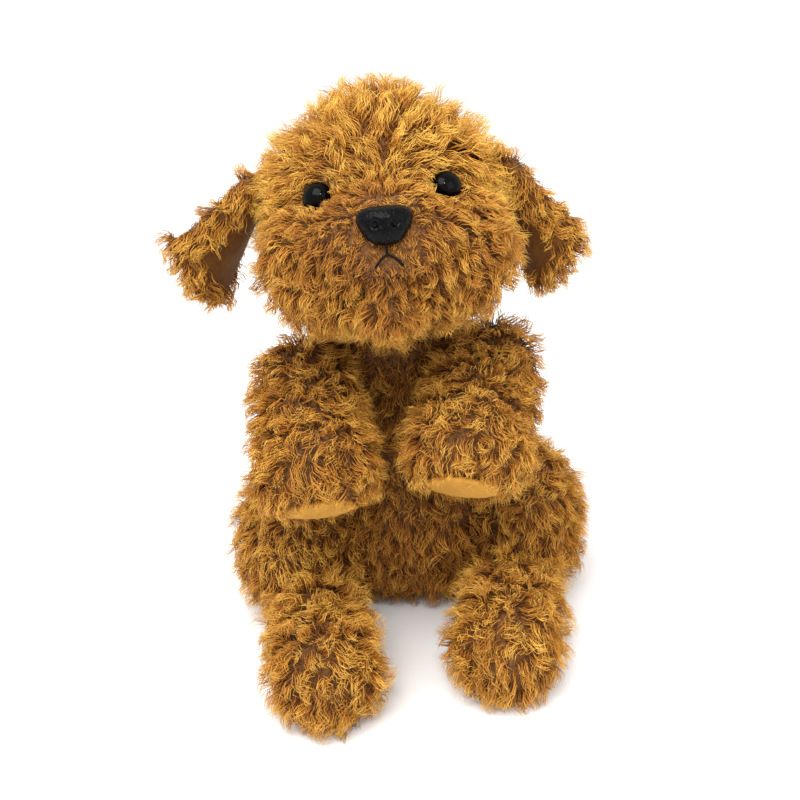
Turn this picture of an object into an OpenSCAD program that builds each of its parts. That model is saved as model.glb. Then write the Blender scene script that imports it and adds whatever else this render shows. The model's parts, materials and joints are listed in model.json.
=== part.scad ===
// Plush puppy, sitting. Millimetres. The dog faces -Y, +Z is up, and the origin is the middle of
// the flat patch under its rump. Each stuffed section is a ball of filling inside sewn fabric panels.
// left and right are the dog's own: left is +X.

/* [Fabric] */
// Thickness of the plush fabric, backing and dense pile base together
skin = 2.5; // [1.5:0.1:4]
// Clearance between sewn sections that move against each other
gap = 0.6; // [0.4:0.1:1.5]

/* [Torso] */
// Half width of the rump
rump_x = 50; // [44:1:56]
// Half depth and half height of the rump
rump_r = 46; // [42:1:50]
// Radius of the chest
chest_r = 29; // [26:1:33]
// Height at which the torso is closed under the neck
chest_top = 131; // [126:1:136]
// Radius of the weighted pellet bag in the rump
bag_r = 18; // [10:1:20]

/* [Head] */
// Height of the middle of the head
head_z = 177; // [176:1:190]
// Half width of the skull
skull_x = 43.5; // [38:0.5:50]
// Half depth and half height of the skull
skull_r = 43; // [38:1:48]
// Upward tilt of the face, degrees
head_pitch = 25; // [0:1:30]
// Half width of the muzzle
muzzle_x = 26; // [22:1:32]
// Half height and half depth of the muzzle
muzzle_r = 18; // [15:1:22]
// Radius of the stuffed neck
neck_r = 20; // [14:1:22]

/* [Face] */
// Diameter of each safety eye
eye_d = 12; // [8:0.5:16]
// Distance between the middles of the eyes
eye_apart = 49; // [40:1:56]
// Width of the nose
nose_w = 19; // [14:0.5:24]

/* [Ears] */
// Length of an ear, from its seam to its tip
ear_l = 58; // [45:1:66]
// Widest part of an ear
ear_w = 46; // [34:1:50]
// Radius to which the ear leaf is curled
ear_curl = 28; // [25:1:60]
// How far the left ear stands out from straight down, degrees
ear_hang_left = 21; // [10:1:60]
// How far the right ear stands out from straight down, degrees
ear_hang_right = 34; // [10:1:60]

/* [Arms] */
// Distance from the shoulder to the middle of the paw
arm_l = 52; // [40:1:60]
// Radius of the upper arm
arm_r = 17; // [14:1:19]
// Radius of the paw
paw_r = 21; // [16:0.5:22]
// Forward swing of the left arm from straight down, degrees
arm_swing_left = 74; // [50:1:80]
// Forward swing of the right arm from straight down, degrees
arm_swing_right = 70; // [50:1:80]

/* [Legs] */
// Half width of the thigh
thigh_x = 25; // [20:1:27]
// Half height and half depth of the thigh
thigh_r = 33; // [26:1:34]
// Distance from the hip to the middle of the toes
leg_l = 82; // [70:1:88]
// Radius of the foot at the toes
toe_r = 18; // [15:0.5:20]
// Radius of the foot at the ankle
ankle_r = 16; // [13:0.5:17]

/* [Tail] */
// Length of the tail, from its seam to the middle of its tip
tail_l = 36; // [20:1:55]
// Radius of the tail at its tip
tail_r = 8.5; // [6:0.5:9.5]

/* [Hidden] */
$fn = 48;
big = 300;
rump_at = [0, 14, 42];
chest_at = [0, 15, 96];
chest_z = 58;
bag_at = [0, 18, bag_r];
seat_h = 7;
neck_at = [0, 4, 138];
head_at = [0, -6, head_z];
crown_at = [0, -8, 15];
crown_r = 31;
muzzle_at = [0, -46, -14];
cheek_at = [22, -26, -18];
cheek_r = 23;
chin_at = [0, -36, -30];
chin_r = 16;
gusset_x = 16;
muzzle_cut_y = -40;
muzzle_cut_z = -24;
nape_y = 24;
eye_at = [eye_apart / 2, -35.3, 5];
eye_yaw = 22;
shaft_r = 2;
shaft_l = 13;
washer_r = 8;
washer_t = 1.6;
nose_at = [0, -64.5, -9];
nose_shaft_l = 17;
mouth_z = [-19.5, -22, -27];
mouth_x = 8;
thread_w = 1.8;
thread_proud = [0.15, 1.4];
ear_at = [44, 2, 20];
ear_fur_t = 3;
ear_lining_t = 1.8;
ear_seam_w = 30;
shoulder_at = [39.5, -5, 107];
arm_in_left = 17;
arm_in_right = 4;
shoulder_gap = 1.6;
pad_back = 14.5;
pad_t = 2;
pad_tilt = -32;
hip_at = [47, -2, 31];
hip_shift_left = 0;
hip_shift_right = -6;
leg_out_right = 4;
ankle_at = [-6, -38, -15.5];
leg_lift = 30;
toe_in = -14;
foot_flat = 2;
leg_seam = 0.5;
sole_t = 2.5;
tail_at = [0, 58, 34];
tail_up = 30;
tail_gap = 4.4;
bag_gap = 0.3;
tail_root_r = 11;

fur = [0.66, 0.43, 0.18];
fur_dark = [0.42, 0.25, 0.10];
lining = [0.30, 0.17, 0.08];
pad = [0.76, 0.55, 0.26];
filling = [0.93, 0.92, 0.88];
plastic = [0.04, 0.04, 0.05];
washer = [0.88, 0.88, 0.86];
calico = [0.80, 0.76, 0.66];

// ---- Shared shapes ----

// A stuffed ball: half width rx along X, radius r in every direction across it.
module egg(rx, r) {
    rotate([0, 90, 0]) rotate([0, 0, 180]) rotate_extrude() intersection() {
        scale([r, rx]) circle(1);
        translate([0, -rx]) square([r, 2 * rx]);
    }
}

// A stuffed ball with half height rz along Z and radius r around it.
module tall_egg(rz, r) {
    rotate_extrude() intersection() {
        scale([r, rz]) circle(1);
        translate([0, -rz]) square([r, 2 * rz]);
    }
}

// A tapered limb with round ends, from a to b. Between them it is as thick as the ends times slim.
module limb(a, ra, b, rb, slim = 1) {
    d = b - a;
    flat = norm([d[0], d[1]]);
    translate(a) sphere(ra);
    translate(b) sphere(rb);
    translate(a) rotate([0, atan2(flat, d[2]), atan2(d[1], d[0])]) cylinder(h = norm(d), r1 = ra * slim, r2 = rb * slim);
}

// A block that covers everything beyond x, y and z in the + directions.
module beyond(x, y, z) {
    translate([x, y, z]) cube(big);
}

// A slab of the given half width either side of X = 0.
module middle(half) {
    translate([-half, -big / 2, -big / 2]) cube([2 * half, big, big]);
}

// ---- Torso ----

module torso_blank(grow) {
    translate(rump_at) egg(rump_x + grow, rump_r + grow);
    translate(chest_at) tall_egg(chest_z + grow, chest_r + grow);
}

// What the neck, arms, legs and tail take out of the torso.
module torso_sockets() {
    translate(neck_at) sphere(neck_r + gap);
    translate([-big / 2, -big / 2, chest_top]) cube(big);
    translate([-big / 2, -big / 2, -big]) cube(big);
    for (side = [-1, 1]) {
        translate([side * shoulder_at[0], shoulder_at[1], shoulder_at[2]]) sphere(arm_r + shoulder_gap);
        place_leg(side) {
            egg(thigh_x + gap, thigh_r + gap);
            for (lift = [0 : 10 : leg_lift]) rotate([-lift, 0, 0]) translate(ankle_at) sphere(ankle_r + 2 * gap);
        }
    }
    translate(tail_at) sphere(tail_root_r + tail_gap);
}

module torso_panel() {
    difference() {
        intersection() {
            torso_blank(0);
            children();
        }
        torso_blank(-skin);
        torso_sockets();
    }
}

// The bag lies on the seat panel.
module bag_solid(grow) {
    difference() {
        translate(bag_at) sphere(bag_r + grow);
        translate([-big / 2, -big / 2, -big + skin]) cube(big);
    }
}

module pellet_bag() {
    color(calico) bag_solid(0);
}

module torso_filling() {
    color(filling) difference() {
        torso_blank(-skin);
        torso_sockets();
        translate([-big / 2, -big / 2, -big + skin]) cube(big);
        bag_solid(bag_gap);
    }
}

module back_panel(side) {
    color(fur) torso_panel() mirror([side < 0 ? 1 : 0, 0, 0]) beyond(0, 8, seat_h);
}

module belly_panel() {
    color(fur_dark) torso_panel() translate([-big / 2, 8 - big, seat_h]) cube(big);
}

module seat_panel() {
    color(fur_dark) difference() {
        torso_blank(0);
        difference() {
            torso_blank(-skin);
            translate([-big / 2, -big / 2, -big + skin]) cube(big);
        }
        beyond(-big / 2, -big / 2, seat_h);
        torso_sockets();
    }
}

module neck_plug() {
    color(filling) translate(neck_at) sphere(neck_r);
}

// ---- Head ----

module place_head() {
    translate(head_at) rotate([-head_pitch, 0, 0]) children();
}

module head_blank(grow) {
    egg(skull_x + grow, skull_r + grow);
    translate(crown_at) sphere(crown_r + grow);
    translate(muzzle_at) egg(muzzle_x + grow, muzzle_r + grow);
    for (side = [-1, 1]) translate([side * cheek_at[0], cheek_at[1], cheek_at[2]]) sphere(cheek_r + grow);
    translate(chin_at) sphere(chin_r + grow);
}

module neck_socket() {
    translate(neck_at) sphere(neck_r + gap);
}

module head_panel() {
    color(fur) difference() {
        place_head() difference() {
            intersection() {
                head_blank(0);
                children();
            }
            head_blank(-skin);
        }
        neck_socket();
    }
}

module head_gusset() {
    head_panel() intersection() {
        middle(gusset_x);
        union() {
            beyond(-big / 2, muzzle_cut_y, muzzle_cut_z);
            beyond(-big / 2, nape_y, -big / 2);
        }
    }
}

module head_side(side) {
    color(fur) difference() {
        head_panel() mirror([side < 0 ? 1 : 0, 0, 0]) beyond(gusset_x, muzzle_cut_y, -big / 2);
        place_head() eye_solid(side);
    }
}

module muzzle_panel() {
    difference() {
        head_panel() difference() {
            translate([-big / 2, muzzle_cut_y - big, -big / 2]) cube(big);
            translate([-gusset_x, -big, muzzle_cut_z - big]) cube([2 * gusset_x, big, big]);
        }
        place_head() nose_solid();
    }
}

module chin_panel() {
    head_panel() intersection() {
        middle(gusset_x);
        translate([-big / 2, nape_y - big, muzzle_cut_z - big]) cube(big);
    }
}

module head_filling() {
    color(filling) difference() {
        place_head() difference() {
            head_blank(-skin);
            for (side = [-1, 1]) {
                eye_solid(side);
                eye_washer_solid(side);
            }
            nose_solid();
            nose_washer_solid();
        }
        neck_socket();
    }
}

// ---- Face ----

// The frame of one eye: its shaft runs along +Z here, into the head.
module eye_frame(side) {
    translate([side * eye_at[0], eye_at[1], eye_at[2]]) rotate([-90, 0, side * eye_yaw]) children();
}

module eye_solid(side) {
    eye_frame(side) {
        difference() {
            translate([0, 0, 1]) sphere(d = eye_d);
            translate([-eye_d, -eye_d, 1]) cube(2 * eye_d);
        }
        cylinder(h = shaft_l, r = shaft_r);
    }
}

module eye_washer_solid(side) {
    eye_frame(side) translate([0, 0, shaft_l - 5]) cylinder(h = washer_t, r = washer_r);
}

module eye(side) {
    color(plastic) place_head() eye_solid(side);
}

module eye_washer(side) {
    color(washer) place_head() difference() {
        eye_washer_solid(side);
        eye_frame(side) cylinder(h = shaft_l, r = shaft_r);
    }
}

module nose_solid() {
    translate(nose_at) {
        egg(nose_w / 2, 6.2);
        translate([0, 1, -5]) sphere(5.4);
        rotate([-90, 0, 0]) cylinder(h = nose_shaft_l, r = shaft_r);
    }
}

module nose_washer_solid() {
    translate(nose_at) rotate([-90, 0, 0]) translate([0, 0, nose_shaft_l - 5]) cylinder(h = washer_t, r = washer_r);
}

module nose() {
    color(plastic) place_head() nose_solid();
}

module nose_washer() {
    color(washer) place_head() difference() {
        nose_washer_solid();
        translate(nose_at) rotate([-90, 0, 0]) cylinder(h = nose_shaft_l, r = shaft_r);
    }
}

// One straight run of satin stitch between two places on the muzzle's front, seen along Y.
module stitch(a, b) {
    d = b - a;
    side = thread_w / 2 * [-d[1], d[0]] / norm(d);
    polygon([a - side, b - side, b + side, a + side]);
}

module mouth_solid() {
    fork = [0, mouth_z[1]];
    intersection() {
        translate(muzzle_at) difference() {
            egg(muzzle_x + thread_proud[1], muzzle_r + thread_proud[1]);
            egg(muzzle_x + thread_proud[0], muzzle_r + thread_proud[0]);
        }
        translate([0, muzzle_at[1], 0]) rotate([90, 0, 0]) linear_extrude(big / 2) union() {
            stitch([0, mouth_z[0]], fork - [0, 0.5]);
            for (side = [-1, 1]) stitch(fork, [side * mouth_x, mouth_z[2]]);
        }
    }
}

module mouth_stitching() {
    color(plastic) place_head() mouth_solid();
}

// ---- Ears ----

// An ear's own frame: the seam is at the origin, the leaf hangs along -Z, +X is away from the head.
module place_ear(side) {
    hang = side > 0 ? ear_hang_left : ear_hang_right;
    place_head() mirror([side < 0 ? 1 : 0, 0, 0]) translate(ear_at) rotate([head_pitch, -hang, 0]) children();
}

module ear_outline() {
    r = ear_w / 2;
    rotate([90, 0, 90]) translate([0, 0, -r]) linear_extrude(2 * ear_w) polygon(concat(
        [[-ear_seam_w / 2, 0], [ear_seam_w / 2, 0]],
        [for (a = [10 : -10 : -190]) [r * cos(a), r - ear_l + r * sin(a)]]
    ));
}

module ear_layer(side, inner, outer) {
    place_ear(side) intersection() {
        ear_outline();
        translate([ear_curl, 2, -ear_l]) difference() {
            cylinder(h = 2 * ear_l, r = outer);
            translate([0, 0, -1]) cylinder(h = 2 * ear_l + 2, r = inner);
        }
        translate([-big, -big / 2, -big / 2]) cube([big + ear_curl - 2, big, big]);
    }
}

module ear_fur(side) {
    color(fur) ear_layer(side, ear_curl - ear_fur_t, ear_curl);
}

module ear_lining(side) {
    color(lining) ear_layer(side, ear_curl, ear_curl + ear_lining_t);
}

// ---- Arms ----

// An arm's own frame: the shoulder is at the origin and the arm hangs along -Z.
module place_arm(side) {
    swing = side > 0 ? arm_swing_left : arm_swing_right;
    turn_in = side > 0 ? arm_in_left : arm_in_right;
    mirror([side < 0 ? 1 : 0, 0, 0]) translate(shoulder_at) rotate([-swing, 0, -turn_in]) children();
}

module arm_blank(grow) {
    limb([0, 0, 0], arm_r + grow, [0, 0, -arm_l], paw_r + grow);
}

// The flat end of the paw: +Z here points out of the paw.
module paw_end() {
    translate([0, 0, -arm_l]) rotate([180 - pad_tilt, 0, 0]) translate([0, 0, pad_back]) children();
}

module arm_cut(grow) {
    difference() {
        arm_blank(grow);
        paw_end() translate([-big / 2, -big / 2, 0]) cube(big);
    }
}

module arm_filling(side) {
    color(filling) place_arm(side) arm_cut(-skin);
}

module arm_half(side, outer) {
    color(fur) place_arm(side) difference() {
        intersection() {
            arm_cut(0);
            mirror([outer ? 0 : 1, 0, 0]) beyond(0, -big / 2, -big / 2);
        }
        arm_blank(-skin);
    }
}

module paw_pad(side) {
    color(pad) place_arm(side) paw_end() cylinder(h = pad_t, r = sqrt(pow(paw_r, 2) - pow(pad_back, 2)) - 0.5);
}

// ---- Legs ----

// A leg's own frame: the hip is at the origin and the leg points along -Y.
module place_leg(side) {
    mirror([side < 0 ? 1 : 0, 0, 0])
        translate(hip_at + [0, side > 0 ? hip_shift_left : hip_shift_right, 0])
        rotate([0, 0, side > 0 ? 0 : leg_out_right]) children();
}

module foot_blank(grow) {
    limb(ankle_at, ankle_r + grow, [toe_in, -leg_l, toe_r - hip_at[2] - foot_flat], toe_r + grow);
}

module leg_blank(grow) {
    egg(thigh_x + grow, thigh_r + grow);
    foot_blank(grow);
}

module floor_cut() {
    translate([-big / 2, -big / 2, -big - hip_at[2]]) cube(big);
}

module sole_solid() {
    difference() {
        foot_blank(0);
        floor_cut();
        beyond(-big / 2, -big / 2, sole_t - hip_at[2]);
    }
}

module leg_filling(side) {
    color(filling) place_leg(side) difference() {
        leg_blank(-skin);
        sole_solid();
    }
}

module leg_half(side, outer) {
    color(fur) place_leg(side) difference() {
        intersection() {
            leg_blank(0);
            mirror([outer ? 0 : 1, 0, 0]) beyond(outer ? leg_seam : -leg_seam, -big / 2, -big / 2);
        }
        leg_blank(-skin);
        floor_cut();
        sole_solid();
    }
}

module sole_pad(side) {
    color(pad) place_leg(side) sole_solid();
}

// ---- Tail ----

module tail_blank(grow) {
    translate(tail_at) limb([0, 0, 0], tail_root_r + grow, tail_l * [0, cos(tail_up), sin(tail_up)], tail_r + grow, 0.97);
}

module tail_filling() {
    color(filling) tail_blank(-skin);
}

module tail_cover() {
    color(fur) difference() {
        tail_blank(0);
        tail_blank(-skin);
    }
}

torso_filling();
pellet_bag();
back_panel(1);  // back_panel_left
back_panel(-1);  // back_panel_right
belly_panel();
seat_panel();
neck_plug();
head_filling();
head_gusset();
head_side(1);  // head_side_left
head_side(-1);  // head_side_right
muzzle_panel();
chin_panel();
eye(1);  // eye_left
eye(-1);  // eye_right
eye_washer(1);  // eye_washer_left
eye_washer(-1);  // eye_washer_right
nose();
nose_washer();
mouth_stitching();
ear_fur(1);  // ear_fur_left
ear_lining(1);  // ear_lining_left
ear_fur(-1);  // ear_fur_right
ear_lining(-1);  // ear_lining_right
arm_filling(1);  // arm_filling_left
arm_half(1, true);  // arm_outer_left
arm_half(1, false);  // arm_inner_left
paw_pad(1);  // paw_pad_left
arm_filling(-1);  // arm_filling_right
arm_half(-1, true);  // arm_outer_right
arm_half(-1, false);  // arm_inner_right
paw_pad(-1);  // paw_pad_right
leg_filling(1);  // leg_filling_left
leg_half(1, true);  // leg_outer_left
leg_half(1, false);  // leg_inner_left
sole_pad(1);  // sole_pad_left
leg_filling(-1);  // leg_filling_right
leg_half(-1, true);  // leg_outer_right
leg_half(-1, false);  // leg_inner_right
sole_pad(-1);  // sole_pad_right
tail_filling();
tail_cover();
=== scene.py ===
"""A sitting plush puppy: skins, pile, face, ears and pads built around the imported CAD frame.

Everything is in metres in the CAD frame: the dog faces -Y, +Z is up, +X is its left.
"""

import json
import logging
import math
from collections.abc import Callable, Sequence
from dataclasses import dataclass, field
from enum import StrEnum

import bmesh
import bpy
import numpy as np
from mathutils import Matrix, Vector
from mathutils.bvhtree import BVHTree

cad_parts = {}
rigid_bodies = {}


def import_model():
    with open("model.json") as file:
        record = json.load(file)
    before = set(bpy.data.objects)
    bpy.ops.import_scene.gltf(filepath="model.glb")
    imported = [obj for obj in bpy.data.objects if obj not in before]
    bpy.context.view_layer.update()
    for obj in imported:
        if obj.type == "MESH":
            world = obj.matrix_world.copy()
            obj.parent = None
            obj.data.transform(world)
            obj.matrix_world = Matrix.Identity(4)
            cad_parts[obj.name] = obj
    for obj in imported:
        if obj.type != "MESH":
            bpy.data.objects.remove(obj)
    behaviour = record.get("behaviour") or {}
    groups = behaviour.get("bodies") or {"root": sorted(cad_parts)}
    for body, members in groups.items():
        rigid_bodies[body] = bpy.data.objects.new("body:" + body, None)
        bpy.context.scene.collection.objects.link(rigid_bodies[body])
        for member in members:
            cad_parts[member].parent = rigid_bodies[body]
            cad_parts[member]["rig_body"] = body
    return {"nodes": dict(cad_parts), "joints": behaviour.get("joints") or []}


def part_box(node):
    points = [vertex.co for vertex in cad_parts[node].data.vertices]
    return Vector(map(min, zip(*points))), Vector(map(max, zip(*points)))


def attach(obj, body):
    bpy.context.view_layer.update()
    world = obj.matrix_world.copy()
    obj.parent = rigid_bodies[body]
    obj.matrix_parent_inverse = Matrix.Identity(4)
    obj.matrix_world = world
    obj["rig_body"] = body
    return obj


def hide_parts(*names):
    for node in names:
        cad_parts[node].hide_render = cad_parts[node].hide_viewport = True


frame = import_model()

log = logging.getLogger("plush_dog")
MM = 0.001
Colour = tuple[float, float, float]


class Side(StrEnum):
    """A side of the dog, named as the dog would."""

    LEFT = "left"
    RIGHT = "right"

    @property
    def sign(self) -> int:
        """1 on the left, where X is positive, and -1 on the right."""
        return 1 if self is Side.LEFT else -1


# ---------------------------------------------------------------- shader expressions


class Wire:
    """A shader value that takes part in arithmetic."""

    def __init__(self, graph: "Graph", socket: bpy.types.NodeSocket) -> None:
        """Wraps an output socket of the graph."""
        self.graph, self.socket = graph, socket

    def _with(self, operation: str, *others: "Wire | float", first: "Wire | float | None" = None) -> "Wire":
        """Adds a Math node.

        Args:
            operation: the Math node's operation.
            others: the operands after the first.
            first: the first operand, if it isn't this wire.
        Returns:
            The node's result.
        """
        operands = [self if first is None else first, *others]
        return self.graph.math(operation, *operands)

    def __add__(self, other: "Wire | float") -> "Wire":
        """Sum."""
        return self._with("ADD", other)

    __radd__ = __add__

    def __sub__(self, other: "Wire | float") -> "Wire":
        """Difference."""
        return self._with("SUBTRACT", other)

    def __rsub__(self, other: "Wire | float") -> "Wire":
        """Reflected difference."""
        return self._with("SUBTRACT", self, first=other)

    def __mul__(self, other: "Wire | float") -> "Wire":
        """Product."""
        return self._with("MULTIPLY", other)

    __rmul__ = __mul__

    def __truediv__(self, other: "Wire | float") -> "Wire":
        """Quotient."""
        return self._with("DIVIDE", other)

    def at_most(self, other: "Wire | float") -> "Wire":
        """The smaller of the two."""
        return self._with("MINIMUM", other)

    def at_least(self, other: "Wire | float") -> "Wire":
        """The larger of the two."""
        return self._with("MAXIMUM", other)

    def ramp(self, low: float, high: float) -> "Wire":
        """0 at low, 1 at high, clamped."""
        return ((self - low) / (high - low)).at_least(0.0).at_most(1.0)


class Graph:
    """A material's node tree with a Principled shader."""

    def __init__(self, name: str) -> None:
        """Makes an empty material of that name.

        Args:
            name: the material's name.
        """
        self.material = bpy.data.materials.new(name)
        self.material.use_nodes = True
        self.tree = self.material.node_tree
        self.tree.nodes.clear()
        self.output = self.tree.nodes.new("ShaderNodeOutputMaterial")

    def node(self, kind: str, settings: dict | None = None, **inputs) -> bpy.types.Node:
        """Adds a node.

        Args:
            kind: the node type after ShaderNode.
            settings: attributes to set on the node.
            inputs: input values or wires by socket name, with _ for a space.
        Returns:
            The node.
        """
        made = self.tree.nodes.new("ShaderNode" + kind)
        for key, value in (settings or {}).items():
            setattr(made, key, value)
        for key, value in inputs.items():
            self.feed(made.inputs[key.replace("_", " ")], value)
        return made

    def feed(self, socket: bpy.types.NodeSocket, value) -> None:
        """Links a wire to a socket, or sets the socket's own value.

        Args:
            socket: the input.
            value: a wire, a colour or a number.
        """
        if isinstance(value, Wire):
            self.tree.links.new(value.socket, socket)
        elif isinstance(value, tuple) and socket.type == "RGBA":
            socket.default_value = (*value[:3], 1.0)
        else:
            socket.default_value = value

    def math(self, operation: str, *operands: Wire | float) -> Wire:
        """Adds a Math node and gives its result.

        Args:
            operation: the node's operation.
            operands: wires or numbers.
        Returns:
            The node's result.
        """
        made = self.tree.nodes.new("ShaderNodeMath")
        made.operation = operation
        for socket, value in zip(made.inputs, operands):
            self.feed(socket, value)
        return Wire(self, made.outputs[0])

    def place(self) -> Wire:
        """Object coordinates."""
        return Wire(self, self.node("TexCoord").outputs["Object"])

    def stretched(self, vector: Wire, scale: tuple[float, float, float]) -> Wire:
        """The vector scaled along each axis."""
        return Wire(self, self.node("Mapping", Vector=vector, Scale=scale).outputs[0])

    def noise(self, vector: Wire, scale: float, detail: float = 3.0, roughness: float = 0.55) -> Wire:
        """Fractal noise, about 0 to 1."""
        made = self.node("TexNoise", None, Vector=vector, Scale=scale, Detail=detail, Roughness=roughness)
        return Wire(self, made.outputs[0])

    def pebbles(self, vector: Wire, scale: float) -> Wire:
        """Smooth distance to the nearest of scattered points."""
        made = self.node("TexVoronoi", {"feature": "SMOOTH_F1"}, Vector=vector, Scale=scale)
        return Wire(self, made.outputs["Distance"])

    def blend(self, factor: Wire | float, a: Wire | Colour, b: Wire | Colour) -> Wire:
        """A colour between a and b.

        Args:
            factor: how far towards b.
            a: the colour at 0.
            b: the colour at 1.
        Returns:
            The mixed colour.
        """
        made = self.tree.nodes.new("ShaderNodeMix")
        made.data_type = "RGBA"
        sockets = [s for s in made.inputs if s.enabled]
        for socket, value in zip(sockets, (factor, a, b)):
            self.feed(socket, value)
        return Wire(self, next(s for s in made.outputs if s.enabled))

    def bump(self, height: Wire, strength: float, distance: float) -> Wire:
        """A bumped normal."""
        made = self.node("Bump", None, Height=height, Strength=strength, Distance=distance)
        return Wire(self, made.outputs[0])

    def finish(self, **inputs) -> bpy.types.Material:
        """Adds the Principled shader with these inputs and gives the material.

        Args:
            inputs: the shader's inputs by name.
        Returns:
            The material.
        """
        shader = self.node("BsdfPrincipled", None, **inputs)
        self.tree.links.new(shader.outputs[0], self.output.inputs[0])
        return self.material


# ---------------------------------------------------------------- finishes


@dataclass(frozen=True)
class PileFibre:
    """Curly polyester pile, dark at the root and golden at the tip."""

    root: Colour = (0.16, 0.042, 0.006)
    middle: Colour = (0.55, 0.212, 0.020)
    tip: Colour = (1.0, 0.60, 0.10)
    middle_at: float = 0.55
    steps: int = 9
    roughness: float = 0.55

    def colour(self, at: float) -> Colour:
        """The fibre's colour, at 0 for the root and 1 for the tip.

        Args:
            at: the place along the fibre.
        Returns:
            The colour.
        """
        half = self.middle_at
        if at < half:
            a, b, part = self.root, self.middle, at / half
        else:
            a, b, part = self.middle, self.tip, (at - half) / (1 - half)
        return tuple(x + (y - x) * part for x, y in zip(a, b))

    def materials(self) -> list[bpy.types.Material]:
        """One material a shade, from root to tip.

        Returns:
            The shades in order.
        """
        made = []
        for step in range(self.steps):
            graph = Graph(f"pile_shade_{step}")
            made.append(
                graph.finish(
                    Base_Color=self.colour(step / (self.steps - 1)),
                    Roughness=self.roughness,
                    Specular_IOR_Level=0.35,
                    Sheen_Weight=0.08,
                    Sheen_Roughness=0.4,
                    Sheen_Tint=(1.0, 0.70, 0.30),
                )
            )
        return made


@dataclass(frozen=True)
class Backing:
    """The knitted base of the plush, seen dark between the locks."""

    dark: Colour = (0.075, 0.028, 0.006)
    light: Colour = (0.26, 0.105, 0.022)

    def material(self) -> bpy.types.Material:
        """The base cloth with the stubs of its pile.

        Returns:
            The material.
        """
        graph = Graph("plush_backing")
        place = graph.place()
        tufts = graph.noise(place, 420.0, 4.0)
        patches = graph.noise(place, 60.0, 2.0)
        mixed = (tufts * 0.7 + patches * 0.3).ramp(0.35, 0.68)
        return graph.finish(
            Base_Color=graph.blend(mixed, self.dark, self.light),
            Roughness=(1.0 - tufts * 0.2).at_most(0.97),
            Normal=graph.bump(tufts, 0.9, 0.0015),
        )


@dataclass(frozen=True)
class Velour:
    """Short-nap velour with a brushed, slightly mottled surface."""

    name: str
    dark: Colour
    light: Colour
    nap: float = 900.0

    def material(self) -> bpy.types.Material:
        """The velour's material.

        Returns:
            The material.
        """
        graph = Graph(self.name)
        place = graph.place()
        nap = graph.noise(place, self.nap, 3.0, 0.7)
        brushed = graph.noise(graph.stretched(place, (1.0, 1.0, 0.35)), 110.0, 3.0)
        mottled = graph.noise(place, 34.0, 2.0)
        tone = (nap * 0.35 + brushed * 0.35 + mottled * 0.3).ramp(0.34, 0.66)
        return graph.finish(
            Base_Color=graph.blend(tone, self.dark, self.light),
            Roughness=0.72 + nap * 0.25,
            Normal=graph.bump(nap * 0.6 + brushed * 0.4, 0.55, 0.0006),
            Specular_IOR_Level=0.2,
            Sheen_Weight=0.12,
            Sheen_Roughness=0.45,
            Sheen_Tint=(1.0, 0.65, 0.25),
        )


@dataclass(frozen=True)
class Gloss:
    """Moulded black plastic: bright and even on the eyes, grained like leather on the nose."""

    name: str
    colour: Colour
    grain: float = 0.0

    def material(self) -> bpy.types.Material:
        """The plastic's material.

        Returns:
            The material.
        """
        graph = Graph(self.name)
        place = graph.place()
        haze = graph.noise(place, 240.0, 2.0)
        inputs = {
            "Base_Color": graph.blend(haze, self.colour, tuple(c * 2.2 for c in self.colour)),
            "Roughness": 0.03 + haze * 0.04 if not self.grain else 0.12 + haze * 0.16,
            "Specular_IOR_Level": 0.10,
        }
        if self.grain:
            pebbles = graph.pebbles(place, 1050.0)
            creases = graph.noise(place, 520.0, 4.0)
            inputs["Normal"] = graph.bump(pebbles * 0.7 + creases * 0.5, self.grain, 0.0006)
        return graph.finish(**inputs)


@dataclass(frozen=True)
class Thread:
    """Twisted embroidery thread."""

    def material(self) -> bpy.types.Material:
        """The thread's material.

        Returns:
            The material.
        """
        graph = Graph("mouth_thread")
        place = graph.place()
        twist = graph.noise(graph.stretched(place, (3.0, 1.0, 1.0)), 1500.0, 3.0)
        return graph.finish(
            Base_Color=graph.blend(twist, (0.003, 0.002, 0.002), (0.014, 0.010, 0.008)),
            Roughness=0.65 + twist * 0.25,
            Normal=graph.bump(twist, 0.5, 0.0004),
            Specular_IOR_Level=0.12,
        )


@dataclass(frozen=True)
class Hidden:
    """Plain inner materials: fibre filling, moulded washers and the calico bag."""

    name: str
    dark: Colour
    light: Colour
    scale: float
    depth: float

    def material(self) -> bpy.types.Material:
        """A mottled matt material.

        Returns:
            The material.
        """
        graph = Graph(self.name)
        fibres = graph.noise(graph.place(), self.scale, 5.0, 0.65)
        return graph.finish(
            Base_Color=graph.blend(fibres, self.dark, self.light),
            Roughness=0.7 + fibres * 0.2,
            Normal=graph.bump(fibres, 0.6, self.depth),
        )


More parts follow.
